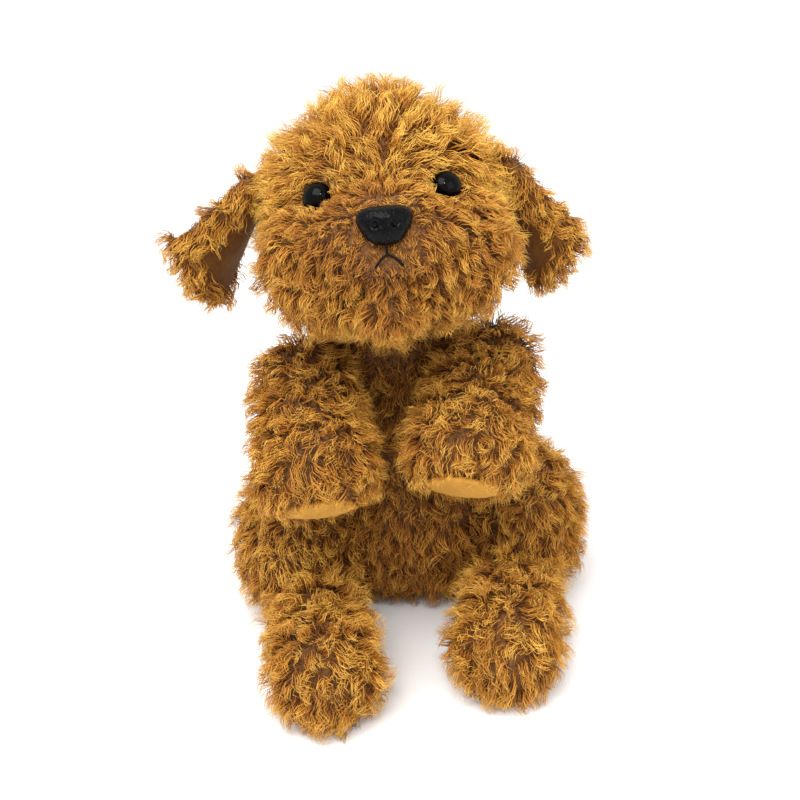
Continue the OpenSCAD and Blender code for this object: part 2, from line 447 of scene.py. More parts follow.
@dataclass
class Palette:
    """Every material of the toy, made once."""

    pile: list[bpy.types.Material] = field(default_factory=lambda: PileFibre().materials())
    backing: bpy.types.Material = field(default_factory=lambda: Backing().material())
    lining: bpy.types.Material = field(
        default_factory=lambda: Velour("ear_velour", (0.075, 0.026, 0.005), (0.21, 0.085, 0.018)).material()
    )
    pad: bpy.types.Material = field(
        default_factory=lambda: Velour("pad_velour", (0.42, 0.19, 0.025), (0.66, 0.34, 0.055)).material()
    )
    eye: bpy.types.Material = field(
        default_factory=lambda: Gloss("eye_gloss", (0.0006, 0.0005, 0.0006)).material()
    )
    nose: bpy.types.Material = field(
        default_factory=lambda: Gloss("nose_gloss", (0.0008, 0.0008, 0.001), 0.55).material()
    )
    thread: bpy.types.Material = field(default_factory=lambda: Thread().material())
    filling: bpy.types.Material = field(
        default_factory=lambda: Hidden(
            "fibre_filling", (0.62, 0.60, 0.55), (0.88, 0.87, 0.83), 220.0, 0.002
        ).material()
    )
    washer: bpy.types.Material = field(
        default_factory=lambda: Hidden(
            "washer_plastic", (0.70, 0.70, 0.67), (0.80, 0.80, 0.78), 900.0, 0.0002
        ).material()
    )
    calico: bpy.types.Material = field(
        default_factory=lambda: Hidden(
            "calico_bag", (0.50, 0.46, 0.36), (0.68, 0.63, 0.52), 1400.0, 0.0004
        ).material()
    )


# ---------------------------------------------------------------- mesh helpers


def mesh_object(name: str, points: np.ndarray, faces: Sequence[Sequence[int]]) -> bpy.types.Object:
    """Makes a mesh object at the origin.

    Args:
        name: the piece's name.
        points: vertex places, n by 3.
        faces: vertex numbers of each face.
    Returns:
        The linked object.
    """
    mesh = bpy.data.meshes.new(name)
    mesh.from_pydata([tuple(map(float, p)) for p in points], [], [tuple(map(int, f)) for f in faces])
    mesh.update()
    mesh.polygons.foreach_set("use_smooth", [True] * len(mesh.polygons))
    made = bpy.data.objects.new(name, mesh)
    bpy.context.scene.collection.objects.link(made)
    return made


def drop(thing: bpy.types.Object) -> None:
    """Removes an object and its mesh.

    Args:
        thing: the object to remove.
    """
    mesh = thing.data
    bpy.data.objects.remove(thing)
    bpy.data.meshes.remove(mesh)


def evaluated(thing: bpy.types.Object, name: str) -> bpy.types.Object:
    """A plain object of the evaluated mesh, with the same place and no modifiers.

    Args:
        thing: the object to evaluate.
        name: the new object's name.
    Returns:
        The linked object.
    """
    graph = bpy.context.evaluated_depsgraph_get()
    mesh = bpy.data.meshes.new_from_object(thing.evaluated_get(graph), depsgraph=graph)
    mesh.name = name
    made = bpy.data.objects.new(name, mesh)
    bpy.context.scene.collection.objects.link(made)
    return made


def cad_copy(name: str, nodes: Sequence[str]) -> bpy.types.Object:
    """A merged copy of some CAD nodes' meshes as one object.

    Args:
        name: the copy's name.
        nodes: names of CAD nodes.
    Returns:
        The linked object.
    """
    bm = bmesh.new()
    for node in nodes:
        bm.from_mesh(frame["nodes"][node].data)
    bmesh.ops.remove_doubles(bm, verts=bm.verts, dist=1e-6)
    mesh = bpy.data.meshes.new(name)
    bm.to_mesh(mesh)
    bm.free()
    made = bpy.data.objects.new(name, mesh)
    bpy.context.scene.collection.objects.link(made)
    return made


def arrays(mesh: bpy.types.Mesh) -> tuple[np.ndarray, np.ndarray, list[tuple[int, ...]]]:
    """A mesh's vertex places, vertex normals and faces.

    Args:
        mesh: the mesh.
    Returns:
        Points, normals and faces.
    """
    count = len(mesh.vertices)
    points, normals = np.empty(count * 3), np.empty(count * 3)
    mesh.vertices.foreach_get("co", points)
    mesh.vertices.foreach_get("normal", normals)
    return points.reshape(-1, 3), normals.reshape(-1, 3), [tuple(p.vertices) for p in mesh.polygons]


def unit(v: np.ndarray) -> np.ndarray:
    """Rows scaled to length one."""
    return v / np.maximum(np.linalg.norm(v, axis=-1, keepdims=True), 1e-9)


def ripple(points: np.ndarray, wavelength: float, seed: int) -> np.ndarray:
    """A smooth irregular value of about -1 to 1 at each point.

    Args:
        points: places, n by 3.
        wavelength: the usual distance between lumps.
        seed: picks the pattern.
    Returns:
        One value a point.
    """
    draw = np.random.default_rng(seed)
    waves = unit(draw.normal(size=(7, 3))) * (2 * math.pi / wavelength) * draw.uniform(0.7, 1.4, (7, 1))
    phases = draw.uniform(0, 2 * math.pi, 7)
    return np.sin(points @ waves.T + phases).sum(1) / 3.0


def thickened(
    points: np.ndarray, normals: np.ndarray, faces: Sequence[Sequence[int]], depth: float
) -> tuple[np.ndarray, list[tuple[int, ...]]]:
    """Closes an open patch into a shell by adding an inner skin and an edge.

    Args:
        points: the patch's vertices.
        normals: their outward directions.
        faces: the patch's faces.
        depth: how far the inner skin lies inside.
    Returns:
        The shell's points and faces.
    """
    count = len(points)
    edges: dict[tuple[int, int], int] = {}
    for f in faces:
        for a, b in zip(f, (*f[1:], f[0])):
            edges[(a, b)] = edges.get((a, b), 0) + 1
    rims = [(b, a, a + count, b + count) for (a, b) in edges if (b, a) not in edges]
    inner = [tuple(i + count for i in reversed(f)) for f in faces]
    return np.concatenate([points, points - normals * depth]), [*faces, *inner, *rims]


# ---------------------------------------------------------------- pile by Geometry Nodes


class Tree:
    """A Geometry Nodes tree with small helpers."""

    def __init__(self, name: str) -> None:
        """Makes a tree with a geometry input and output.

        Args:
            name: the tree's name.
        """
        self.tree = bpy.data.node_groups.new(name, "GeometryNodeTree")
        self.face = self.tree.interface
        self.face.new_socket("Geometry", in_out="INPUT", socket_type="NodeSocketGeometry")
        self.face.new_socket("Geometry", in_out="OUTPUT", socket_type="NodeSocketGeometry")
        self.entry = self.tree.nodes.new("NodeGroupInput")
        self.exit = self.tree.nodes.new("NodeGroupOutput")

    def named(self, name: str, kind: str = "Float") -> str:
        """Adds a named input and gives its identifier."""
        return self.face.new_socket(name, in_out="INPUT", socket_type="NodeSocket" + kind).identifier

    def node(self, kind: str, settings: dict | None = None, inputs: dict | None = None) -> bpy.types.Node:
        """Adds a node.

        Args:
            kind: the full node type.
            settings: attributes to set.
            inputs: values or output sockets by input name or number.
        Returns:
            The node.
        """
        made = self.tree.nodes.new(kind)
        for key, value in (settings or {}).items():
            setattr(made, key, value)
        for key, value in (inputs or {}).items():
            socket = made.inputs[key]
            if isinstance(value, bpy.types.NodeSocket):
                self.tree.links.new(value, socket)
            else:
                socket.default_value = value
        return made

    def math(self, operation: str, *operands) -> bpy.types.NodeSocket:
        """A scalar Math node's result."""
        return self.node("ShaderNodeMath", {"operation": operation}, dict(enumerate(operands))).outputs[0]

    def vector(self, operation: str, *operands) -> bpy.types.NodeSocket:
        """A Vector Math node's vector result."""
        made = self.node("ShaderNodeVectorMath", {"operation": operation}, dict(enumerate(operands)))
        return made.outputs[0]

    def scaled(self, vector, factor) -> bpy.types.NodeSocket:
        """A vector times a number."""
        made = self.node("ShaderNodeVectorMath", {"operation": "SCALE"}, {0: vector, "Scale": factor})
        return made.outputs[0]

    def read(self, name: str, kind: str = "FLOAT") -> bpy.types.NodeSocket:
        """A named attribute."""
        made = self.node("GeometryNodeInputNamedAttribute", {"data_type": kind}, {"Name": name})
        return next(s for s in made.outputs if s.enabled and s.name == "Attribute")

    def store(self, geometry, name: str, value, kind: str = "FLOAT") -> bpy.types.NodeSocket:
        """Stores a named attribute on the points.

        Args:
            geometry: the points to store on.
            name: the attribute's name.
            value: the field to store.
            kind: the attribute's data type.
        Returns:
            The points with it.
        """
        made = self.node("GeometryNodeStoreNamedAttribute", {"data_type": kind, "domain": "POINT"})
        self.tree.links.new(geometry, made.inputs["Geometry"])
        made.inputs["Name"].default_value = name
        target = next(s for s in made.inputs if s.enabled and s.name == "Value")
        self.tree.links.new(value, target)
        return made.outputs[0]

    def _drawn(self, kind: str, values: dict) -> bpy.types.NodeSocket:
        """A random value of one data type for each element, from the values by input name.

        Args:
            kind: the data type.
            values: the values.
        Returns:
            The value.
        """
        made = self.node("FunctionNodeRandomValue", {"data_type": kind})
        for socket in (s for s in made.inputs if s.enabled and s.name in values):
            socket.default_value = values[socket.name]
        return next(s for s in made.outputs if s.enabled)

    def random(self, low: float, high: float, seed: int) -> bpy.types.NodeSocket:
        """A random number for each element."""
        return self._drawn("FLOAT", {"Min": low, "Max": high, "Seed": seed})

    def random_vector(self, size: float, seed: int) -> bpy.types.NodeSocket:
        """A random vector for each element, each part from -size to size."""
        return self._drawn("FLOAT_VECTOR", {"Min": (-size,) * 3, "Max": (size,) * 3, "Seed": seed})

    def placed(self, template: bpy.types.Object, inputs: dict) -> bpy.types.NodeSocket:
        """Real copies of a template on points, with the inputs of Instance on Points.

        Args:
            template: the object to copy.
            inputs: values or sockets by input name.
        Returns:
            The real copies.
        """
        shape = self.node("GeometryNodeObjectInfo", None, {"Object": template}).outputs["Geometry"]
        copies = self.node("GeometryNodeInstanceOnPoints", None, {**inputs, "Instance": shape})
        return self.node("GeometryNodeRealizeInstances", None, {"Geometry": copies.outputs[0]}).outputs[0]


@dataclass(frozen=True)
class PileSize:
    """How the pile is cut: lengths in metres."""

    thickness: float = 0.46 * MM
    clump_gap: float = 2.9 * MM
    curl: float = 2.0 * MM
    curl_pile: float = 13 * MM
    first_rise: float = 2.2
    taper: float = 0.62
    turns: float = 1.15
    clumping: float = 0.62
    lowest: float = 0.3 * MM
    rings: tuple[float, ...] = (0.0, 0.27, 0.53, 0.78)


class PileTree:
    """The Geometry Nodes tree that grows curly, clumped pile from a patch of skin.

    The patch carries the attributes comb (direction along the surface), pile (length) and tone (colour shift,
    which also carries painted light on the head and painted shade on the neck and torso).
    """

    def __init__(self, size: PileSize, materials: Sequence[bpy.types.Material]) -> None:
        """Builds the tree once for every patch.

        Args:
            size: how the pile is cut.
            materials: the shades, root first.
        """
        self.size = size
        self.strand = self._strand()
        self.graph = Tree("pile_tree")
        t = self.graph
        self.density = t.named("Density")
        self.seed = t.named("Seed", "Int")
        self.floor = t.named("Floor")
        entry = t.entry.outputs
        clumps = self._clumps(entry["Geometry"], entry["Seed"])
        strands = t.node(
            "GeometryNodeDistributePointsOnFaces",
            {"distribute_method": "RANDOM"},
            {
                "Mesh": entry["Geometry"],
                "Density": t.math("MULTIPLY", entry["Density"], t.read("cover")),
                "Seed": entry["Seed"],
            },
        )
        points = t.store(strands.outputs["Points"], "normal_out", strands.outputs["Normal"], "FLOAT_VECTOR")
        points = self._styled(points, clumps)
        placed = t.placed(self.strand, {"Points": points})
        shaped = self._bent(placed, entry["Floor"])
        t.tree.links.new(self._coloured(shaped, materials), t.exit.inputs[0])

    def _strand(self) -> bpy.types.Object:
        """The fibre template: a closed three-sided taper of height one along Z.

        Returns:
            The template.
        """
        rings = self.size.rings
        points, faces = [], [(2, 1, 0)]
        for ring, at in enumerate(rings):
            for side in range(3):
                angle = 2 * math.pi * side / 3 + ring * 0.4
                points.append((math.cos(angle), math.sin(angle), at))
                if ring + 1 < len(rings):
                    a, b = ring * 3 + side, ring * 3 + (side + 1) % 3
                    faces.append((a, b, b + 3, a + 3))
        points.append((0.0, 0.0, 1.0))
        top = (len(rings) - 1) * 3
        faces += [(top + side, top + (side + 1) % 3, len(points) - 1) for side in range(3)]
        return mesh_object("pile_fibre_template", np.array(points), faces)

    def _clumps(self, patch, seed) -> bpy.types.NodeSocket:
        """Scattered lock centres, each with its own lean and phase.

        Args:
            patch: the skin patch.
            seed: fixes the scatter.
        Returns:
            The lock centres.
        """
        t = self.graph
        spread = t.node(
            "GeometryNodeDistributePointsOnFaces",
            {"distribute_method": "POISSON"},
            {"Mesh": patch, "Distance Min": self.size.clump_gap, "Density Max": 160000.0, "Seed": seed},
        )
        points = t.store(spread.outputs["Points"], "lock_normal", spread.outputs["Normal"], "FLOAT_VECTOR")
        points = t.store(points, "lock_phase", t.random(0.0, 2 * math.pi, 3))
        points = t.store(points, "lock_long", t.random(0.78, 1.18, 4))
        points = t.store(points, "lock_shade", t.random(-1.0, 1.0, 6))
        lean = t.vector("ADD", t.read("comb", "FLOAT_VECTOR"), t.random_vector(0.75, 5))
        return t.store(points, "lock_lean", lean, "FLOAT_VECTOR")

    def _from_clump(self, clumps, index, name: str, kind: str = "FLOAT") -> bpy.types.NodeSocket:
        """An attribute of the strand's own lock.

        Args:
            clumps: the lock centres.
            index: the number of the strand's lock.
            name: the attribute's name.
            kind: the attribute's data type.
        Returns:
            The lock's value.
        """
        t = self.graph
        value = t.read(name, kind) if name != "position" else t.node("GeometryNodeInputPosition").outputs[0]
        made = t.node("GeometryNodeSampleIndex", {"data_type": kind, "domain": "POINT"}, {"Geometry": clumps})
        t.tree.links.new(value, next(s for s in made.inputs if s.enabled and s.name == "Value"))
        t.tree.links.new(index, made.inputs["Index"])
        return next(s for s in made.outputs if s.enabled)

    def _styled(self, points, clumps) -> bpy.types.NodeSocket:
        """Gives each strand the ends of its curve, drawn towards its lock's.

        Args:
            points: the strands' roots.
            clumps: the lock centres.
        Returns:
            The points with their curves.
        """
        t = self.graph
        here = t.node("GeometryNodeInputPosition").outputs[0]
        nearest = {"Geometry": clumps, "Sample Position": here}
        index = t.node("GeometryNodeSampleNearest", {"domain": "POINT"}, nearest).outputs[0]
        lock = {
            name: self._from_clump(clumps, index, name, kind)
            for name, kind in (
                ("position", "FLOAT_VECTOR"),
                ("lock_normal", "FLOAT_VECTOR"),
                ("lock_lean", "FLOAT_VECTOR"),
                ("lock_phase", "FLOAT"),
                ("lock_long", "FLOAT"),
                ("lock_shade", "FLOAT"),
            )
        }
        pile = t.read("pile")
        own_long = t.math("MULTIPLY", pile, t.random(0.72, 1.08, 7))
        lock_long = t.math("MULTIPLY", pile, lock["lock_long"])
        rise = t.read("rise")
        normal = t.read("normal_out", "FLOAT_VECTOR")
        own_lean = t.vector("ADD", lock["lock_lean"], t.random_vector(0.55, 8))
        own_dir = t.vector("NORMALIZE", t.vector("ADD", t.scaled(normal, rise), own_lean))
        lock_rise = t.scaled(lock["lock_normal"], rise)
        lock_dir = t.vector("NORMALIZE", t.vector("ADD", lock_rise, lock["lock_lean"]))
        own_tip = t.vector("ADD", here, t.scaled(own_dir, own_long))
        lock_tip = t.vector("ADD", lock["position"], t.scaled(lock_dir, lock_long))
        mix = t.node("ShaderNodeMix", {"data_type": "VECTOR"})
        sockets = [s for s in mix.inputs if s.enabled]
        sockets[0].default_value = self.size.clumping
        t.tree.links.new(own_tip, sockets[1])
        t.tree.links.new(lock_tip, sockets[2])
        tip = next(s for s in mix.outputs if s.enabled)
        lifted = t.vector("NORMALIZE", t.vector("ADD", t.scaled(normal, self.size.first_rise), own_lean))
        middle = t.vector("ADD", here, t.scaled(lifted, t.math("MULTIPLY", own_long, 0.5)))
        points = t.store(points, "root_at", here, "FLOAT_VECTOR")
        points = t.store(points, "middle_at", middle, "FLOAT_VECTOR")
        points = t.store(points, "tip_at", tip, "FLOAT_VECTOR")
        points = t.store(points, "phase", t.math("ADD", lock["lock_phase"], t.random(-0.5, 0.5, 9)))
        shade = t.math("ADD", t.math("MULTIPLY", lock["lock_shade"], 0.09), t.random(-0.10, 0.10, 10))
        # the section's tone, with its painted light and shade, is added to each strand's shade
        points = t.store(points, "shade", t.math("ADD", shade, t.read("tone")))
        return t.store(points, "curl_size", t.math("MULTIPLY", pile, self.size.curl / self.size.curl_pile))

    def _bent(self, strands, floor) -> bpy.types.NodeSocket:
        """Bends every straight template along its strand's curve.

        Args:
            strands: the straight strands.
            floor: the lowest height allowed.
        Returns:
            The bent strands.
        """
        t = self.graph
        root, middle, tip = (t.read(n, "FLOAT_VECTOR") for n in ("root_at", "middle_at", "tip_at"))
        local = t.vector("SUBTRACT", t.node("GeometryNodeInputPosition").outputs[0], root)
        parts = t.node("ShaderNodeSeparateXYZ", None, {0: local}).outputs
        strands = t.store(strands, "along", parts[2])
        flat = t.node("ShaderNodeCombineXYZ", None, {0: parts[0], 1: parts[1]}).outputs[0]
        strands = t.store(strands, "rim", flat, "FLOAT_VECTOR")
        along = t.read("along")
        rim = t.node("ShaderNodeSeparateXYZ", None, {0: t.read("rim", "FLOAT_VECTOR")}).outputs
        back = t.math("SUBTRACT", 1.0, along)
        from_root = t.scaled(root, t.math("MULTIPLY", back, back))
        by_middle = t.scaled(middle, t.math("MULTIPLY", t.math("MULTIPLY", along, back), 2.0))
        to_tip = t.scaled(tip, t.math("MULTIPLY", along, along))
        line = t.vector("ADD", t.vector("ADD", from_root, by_middle), to_tip)
        heading = t.vector("NORMALIZE", t.vector("SUBTRACT", tip, root))
        across = t.vector("NORMALIZE", t.vector("CROSS_PRODUCT", heading, (0.34, 0.57, 0.75)))
        over = t.vector("CROSS_PRODUCT", heading, across)
        angle = t.math("ADD", t.math("MULTIPLY", along, 2 * math.pi * self.size.turns), t.read("phase"))
        reach = t.math("MULTIPLY", along, t.read("curl_size"))
        wave = t.vector(
            "ADD",
            t.scaled(across, t.math("MULTIPLY", t.math("COSINE", angle), reach)),
            t.scaled(over, t.math("MULTIPLY", t.math("SINE", angle), reach)),
        )
        narrowed = t.math("SUBTRACT", 1.0, t.math("MULTIPLY", along, self.size.taper))
        thick = t.math("MULTIPLY", narrowed, self.size.thickness / 2)
        sideways = t.scaled(across, t.math("MULTIPLY", rim[0], thick))
        girth = t.vector("ADD", sideways, t.scaled(over, t.math("MULTIPLY", rim[1], thick)))
        place = t.vector("ADD", t.vector("ADD", line, wave), girth)
        split = t.node("ShaderNodeSeparateXYZ", None, {0: place}).outputs
        height = t.math("MAXIMUM", split[2], floor)
        final = t.node("ShaderNodeCombineXYZ", None, {0: split[0], 1: split[1], 2: height}).outputs[0]
        return t.node("GeometryNodeSetPosition", None, {"Geometry": strands, "Position": final}).outputs[0]

    def _coloured(self, strands, materials) -> bpy.types.NodeSocket:
        """Sets a material on each face by its place along the strand and the strand's shade.

        Args:
            strands: the strands.
            materials: the shades, root first.
        Returns:
            The strands in their shades.
        """
        t = self.graph
        level = t.math("ADD", t.math("ADD", t.math("MULTIPLY", t.read("along"), 0.72), 0.2), t.read("shade"))
        level = t.math("MAXIMUM", t.math("MINIMUM", level, 0.999), 0.0)
        step = t.math("FLOOR", t.math("MULTIPLY", level, float(len(materials))))
        strands = t.node("GeometryNodeSetShadeSmooth", None, {0: strands}).outputs[0]
        for number, material in enumerate(materials):
            chosen = t.node("FunctionNodeCompare", {"data_type": "FLOAT", "operation": "EQUAL"})
            sockets = [s for s in chosen.inputs if s.enabled]
            t.tree.links.new(step, sockets[0])
            sockets[1].default_value = float(number)
            sockets[2].default_value = 0.1
            inputs = {"Geometry": strands, "Selection": chosen.outputs[0], "Material": material}
            strands = t.node("GeometryNodeSetMaterial", None, inputs).outputs[0]
        return strands

    def grow(self, patch: bpy.types.Object, name: str, density: float, seed: int) -> bpy.types.Object:
        """Grows pile on a patch.

        Args:
            patch: the open skin patch with its attributes.
            name: the new piece's name.
            density: strands a square metre.
            seed: fixes the scatter.
        Returns:
            The pile as a plain mesh.
        """
        modifier = patch.modifiers.new("pile", "NODES")
        modifier.node_group = self.graph.tree
        modifier[self.density] = density
        modifier[self.seed] = seed
        modifier[self.floor] = self.size.lowest
        made = evaluated(patch, name)
        patch.modifiers.remove(modifier)
        for attribute in [a.name for a in made.data.attributes if not a.is_internal and not a.is_required]:
            if attribute not in ("position", "material_index", "sharp_face"):
                made.data.attributes.remove(made.data.attributes[attribute])
        return made


# ---------------------------------------------------------------- stuffed sections


@dataclass(frozen=True)
class Growth:
    """What the pile does over one section: arrays with one row a vertex."""

    comb: np.ndarray
    pile: np.ndarray
    rise: np.ndarray
    tone: np.ndarray
    cover: np.ndarray


@dataclass(frozen=True)
class Plan:
    """How one stuffed section is made."""

    body: str
    nodes: tuple[str, ...]
    panels: tuple[str, ...]
    density: float
    voxel: float = 2.4 * MM
    smoothing: int = 10
    lump: float = 0.9 * MM
    backing: float = 1.4 * MM
    ground: float = -1.0
    bare: tuple[str, ...] = ()
    fringe: float = 8.0 * MM
    filling: str = ""
    under: float = 0.9 * MM


class Section:
    """A stuffed section: a smooth skin over its CAD nodes, cut into its panels, each with pile."""

    def __init__(self, plan: Plan, grow: Callable[[np.ndarray, np.ndarray], Growth]) -> None:
        """Keeps the plan and the function that says how the pile grows."""
        self.plan, self.grow = plan, grow

    def skin(self) -> tuple[np.ndarray, np.ndarray, list[tuple[int, ...]]]:
        """The closed smooth skin over the section.

        Returns:
            Its points, normals and faces.
        """
        plan = self.plan
        raw = cad_copy(f"{plan.body}_raw", plan.nodes)
        remesh = raw.modifiers.new("remesh", "REMESH")
        remesh.mode, remesh.voxel_size = "VOXEL", plan.voxel
        soften = raw.modifiers.new("soften", "SMOOTH")
        soften.factor, soften.iterations = 0.5, plan.smoothing
        smooth = evaluated(raw, f"{plan.body}_skin")
        drop(raw)
        bm = bmesh.new()
        bm.from_mesh(smooth.data)
        self._keep_largest(bm)
        bm.normal_update()
        bm.to_mesh(smooth.data)
        bm.free()
        points, normals, faces = arrays(smooth.data)
        drop(smooth)
        points = points + normals * (plan.lump * ripple(points, 26 * MM, len(plan.body)))[:, None]
        points[:, 2] = np.maximum(points[:, 2], plan.ground)
        return points, normals, faces

    @staticmethod
    def _keep_largest(bm: bmesh.types.BMesh) -> None:
        """Deletes every island but the one with most vertices.

        Args:
            bm: the mesh, changed in place.
        """
        left, islands = set(bm.verts), []
        while left:
            start = left.pop()
            island, edge = {start}, [start]
            while edge:
                found = {e.other_vert(v) for v in edge for e in v.link_edges} & left
                left -= found
                island |= found
                edge = list(found)
            islands.append(island)
        islands.sort(key=len)
        bmesh.ops.delete(bm, geom=[v for island in islands[:-1] for v in island], context="VERTS")

    def labels(self, points: np.ndarray, faces: Sequence[Sequence[int]]) -> np.ndarray:
        """The number of the nearest CAD panel for each face.

        Args:
            points: the skin's points.
            faces: vertex numbers of each face.
        Returns:
            One number a face.
        """
        trees = []
        for panel in self.plan.panels:
            co, _, polys = arrays(frame["nodes"][panel].data)
            trees.append(BVHTree.FromPolygons([Vector(c) for c in co], polys))
        centres = [Vector(points[list(f)].mean(0)) for f in faces]
        far = np.array([[tree.find_nearest(c)[3] for tree in trees] for c in centres])
        return far.argmin(1)

    def build(self, tree: PileTree, palette: Palette, seed: int) -> list[bpy.types.Object]:
        """Makes a backing piece and a pile piece for each panel.

        Args:
            tree: the pile's node tree.
            palette: the materials.
            seed: fixes the section's scatter.
        Returns:
            The pieces made.
        """
        plan = self.plan
        points, normals, faces = self.skin()
        growth = self.grow(points, normals)
        label = self.labels(points, faces)
        made = []
        for number, panel in enumerate(plan.panels):
            chosen = [f for f, n in zip(faces, label) if n == number]
            if not chosen:
                continue
            used = np.unique(np.concatenate([np.array(f) for f in chosen]))
            renumber = np.full(len(points), -1)
            renumber[used] = np.arange(len(used))
            local = [tuple(int(renumber[i]) for i in f) for f in chosen]
            patch = mesh_object(f"{panel}_patch", points[used], local)
            cover = growth.cover[used]
            if panel in plan.bare:
                edge = self._from_rim(points[used], local)
                cover = cover * (1 - ramp(edge, 0.5 * plan.fringe, plan.fringe))
            self._attributes(patch.data, growth, used, cover)
            pile = tree.grow(patch, f"{panel}_pile", plan.density, seed + number)
            drop(patch)
            shell, shell_faces = thickened(points[used], normals[used], local, plan.backing)
            shell[:, 2] = np.maximum(shell[:, 2], plan.ground)
            backing = mesh_object(f"{panel}_backing", shell, shell_faces)
            backing.data.materials.append(palette.lining if panel in plan.bare else palette.backing)
            for piece in (pile, backing):
                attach(piece, plan.body)
                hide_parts(panel)
                "ear_lining" if panel in plan.bare and piece is backing else "fur"
            made += [pile, backing]
        if plan.filling:
            made.append(self._stuffing(points, normals, faces, palette))
        return made

    def _stuffing(
        self, points: np.ndarray, normals: np.ndarray, faces: list, palette: Palette
    ) -> bpy.types.Object:
        """The filling: the whole skin drawn in to just under the backing.

        Args:
            points: places, n by 3.
            normals: the outward direction at each point.
            faces: vertex numbers of each face.
            palette: the materials.
        Returns:
            The piece.
        """
        plan = self.plan
        inner = points - normals * (plan.backing + plan.under)
        inner[:, 2] = np.maximum(inner[:, 2], plan.ground + plan.backing)
        piece = mesh_object(f"{plan.filling}_fibre", inner, faces)
        piece.data.materials.append(palette.filling)
        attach(piece, plan.body)
        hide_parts(plan.filling)
        return piece

    @staticmethod
    def _from_rim(points: np.ndarray, faces: Sequence[Sequence[int]]) -> np.ndarray:
        """Each point's distance to the patch's open edge.

        Args:
            points: the patch's vertices.
            faces: vertex numbers of each face.
        Returns:
            One distance a point.
        """
        edges = {(a, b) for f in faces for a, b in zip(f, (*f[1:], f[0]))}
        rim = points[sorted({a for a, b in edges if (b, a) not in edges})]
        return np.linalg.norm(points[:, None] - rim[None], axis=2).min(1)

    @staticmethod
    def _attributes(mesh: bpy.types.Mesh, growth: Growth, used: np.ndarray, cover: np.ndarray) -> None:
        """Stores the growth on the patch's vertices.

        Args:
            mesh: the patch's mesh.
            growth: how the pile grows.
            used: the patch's vertex numbers in the section.
            cover: the share of pile at each vertex.
        """
        comb = mesh.attributes.new("comb", "FLOAT_VECTOR", "POINT")
        comb.data.foreach_set("vector", growth.comb[used].astype(np.float32).ravel())
        values = {name: getattr(growth, name)[used] for name in ("pile", "rise", "tone")} | {"cover": cover}
        for name, value in values.items():
            stored = mesh.attributes.new(name, "FLOAT", "POINT")
            stored.data.foreach_set("value", value.astype(np.float32))


# ---------------------------------------------------------------- how the pile lies


def tangent(direction: np.ndarray, normals: np.ndarray) -> np.ndarray:
    """The part of each direction that lies along the surface."""
    return direction - normals * (direction * normals).sum(1, keepdims=True)


def nearness(points: np.ndarray, node: str) -> np.ndarray:
    """Each point's distance outside a CAD node's closed surface, negative inside.

    Args:
        points: places, n by 3.
        node: the CAD node's name.
    Returns:
        One distance a point.
    """
    co, _, polys = arrays(frame["nodes"][node].data)
    tree = BVHTree.FromPolygons([Vector(c) for c in co], polys)
    far = np.empty(len(points))
    for number, point in enumerate(points):
        place, normal, _, distance = tree.find_nearest(Vector(point))
        far[number] = math.copysign(distance, (Vector(point) - place).dot(normal))
    return far


def ramp(values: np.ndarray, low: float, high: float) -> np.ndarray:
    """0 at low, 1 at high, smooth between."""
    t = np.clip((values - low) / (high - low), 0, 1)
    return t * t * (3 - 2 * t)


def clear_of(points: np.ndarray, nodes: Sequence[str], bare: float, full: float) -> np.ndarray:
    """0 where a neighbour's stuffing is nearer than bare, 1 beyond full.

    Args:
        points: places, n by 3.
        nodes: the neighbours.
        bare: distance up to which nothing grows.
        full: distance from which everything grows.
    Returns:
        One value a point.
    """
    cover = np.ones(len(points))
    for node in nodes:
        cover *= ramp(nearness(points, node), bare, full)
    return cover


def middle_of(node: str) -> np.ndarray:
    """The middle of a CAD node's box."""
    low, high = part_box(node)
    return (np.array(low) + np.array(high)) / 2


def joint_at(name: str) -> np.ndarray:
    """A joint's place."""
    return np.array(next(j for j in frame["joints"] if j["name"] == name)["pos_m"])


@dataclass(frozen=True)
class HeadFrame:
    """The head's own axes: eyes either side of X = 0, the nose towards -Y, the crown up."""

    eye: tuple[float, float, float] = (24.5, -35.3, 5.0)
    eye_yaw: float = 22.0
    washer_in: float = 8.8
    nose: tuple[float, float, float] = (0.0, -64.5, -9.0)
    nose_washer_in: float = 12.8
    ear: tuple[float, float, float] = (44.0, 2.0, 20.0)

    def matrix(self) -> Matrix:
        """Finds the head's place from its washers and ear seams.

        Returns:
            The matrix from the head's own axes in metres to the frame's.
        """
        local, world = [], []
        yaw = math.radians(self.eye_yaw)
        for side in Side:
            sign = side.sign
            inward = np.array([-sign * math.sin(yaw), math.cos(yaw), 0.0]) * self.washer_in
            local.append(np.array([sign * self.eye[0], *self.eye[1:]]) + inward)
            world.append(middle_of(f"eye_washer_{side}"))
            local.append(np.array([sign * self.ear[0], *self.ear[1:]]))
            world.append(joint_at(f"ear_{side}_flap"))
        local.append(np.array(self.nose) + (0.0, self.nose_washer_in, 0.0))
        world.append(middle_of("nose_washer"))
        a, b = np.array(local) * MM, np.array(world)
        u, _, vt = np.linalg.svd((a - a.mean(0)).T @ (b - b.mean(0)))
        flip = np.diag([1, 1, np.sign(np.linalg.det(vt.T @ u.T))])
        turn = vt.T @ flip @ u.T
        shift = b.mean(0) - turn @ a.mean(0)
        return Matrix.Translation(Vector(shift)) @ Matrix(turn.tolist()).to_4x4()


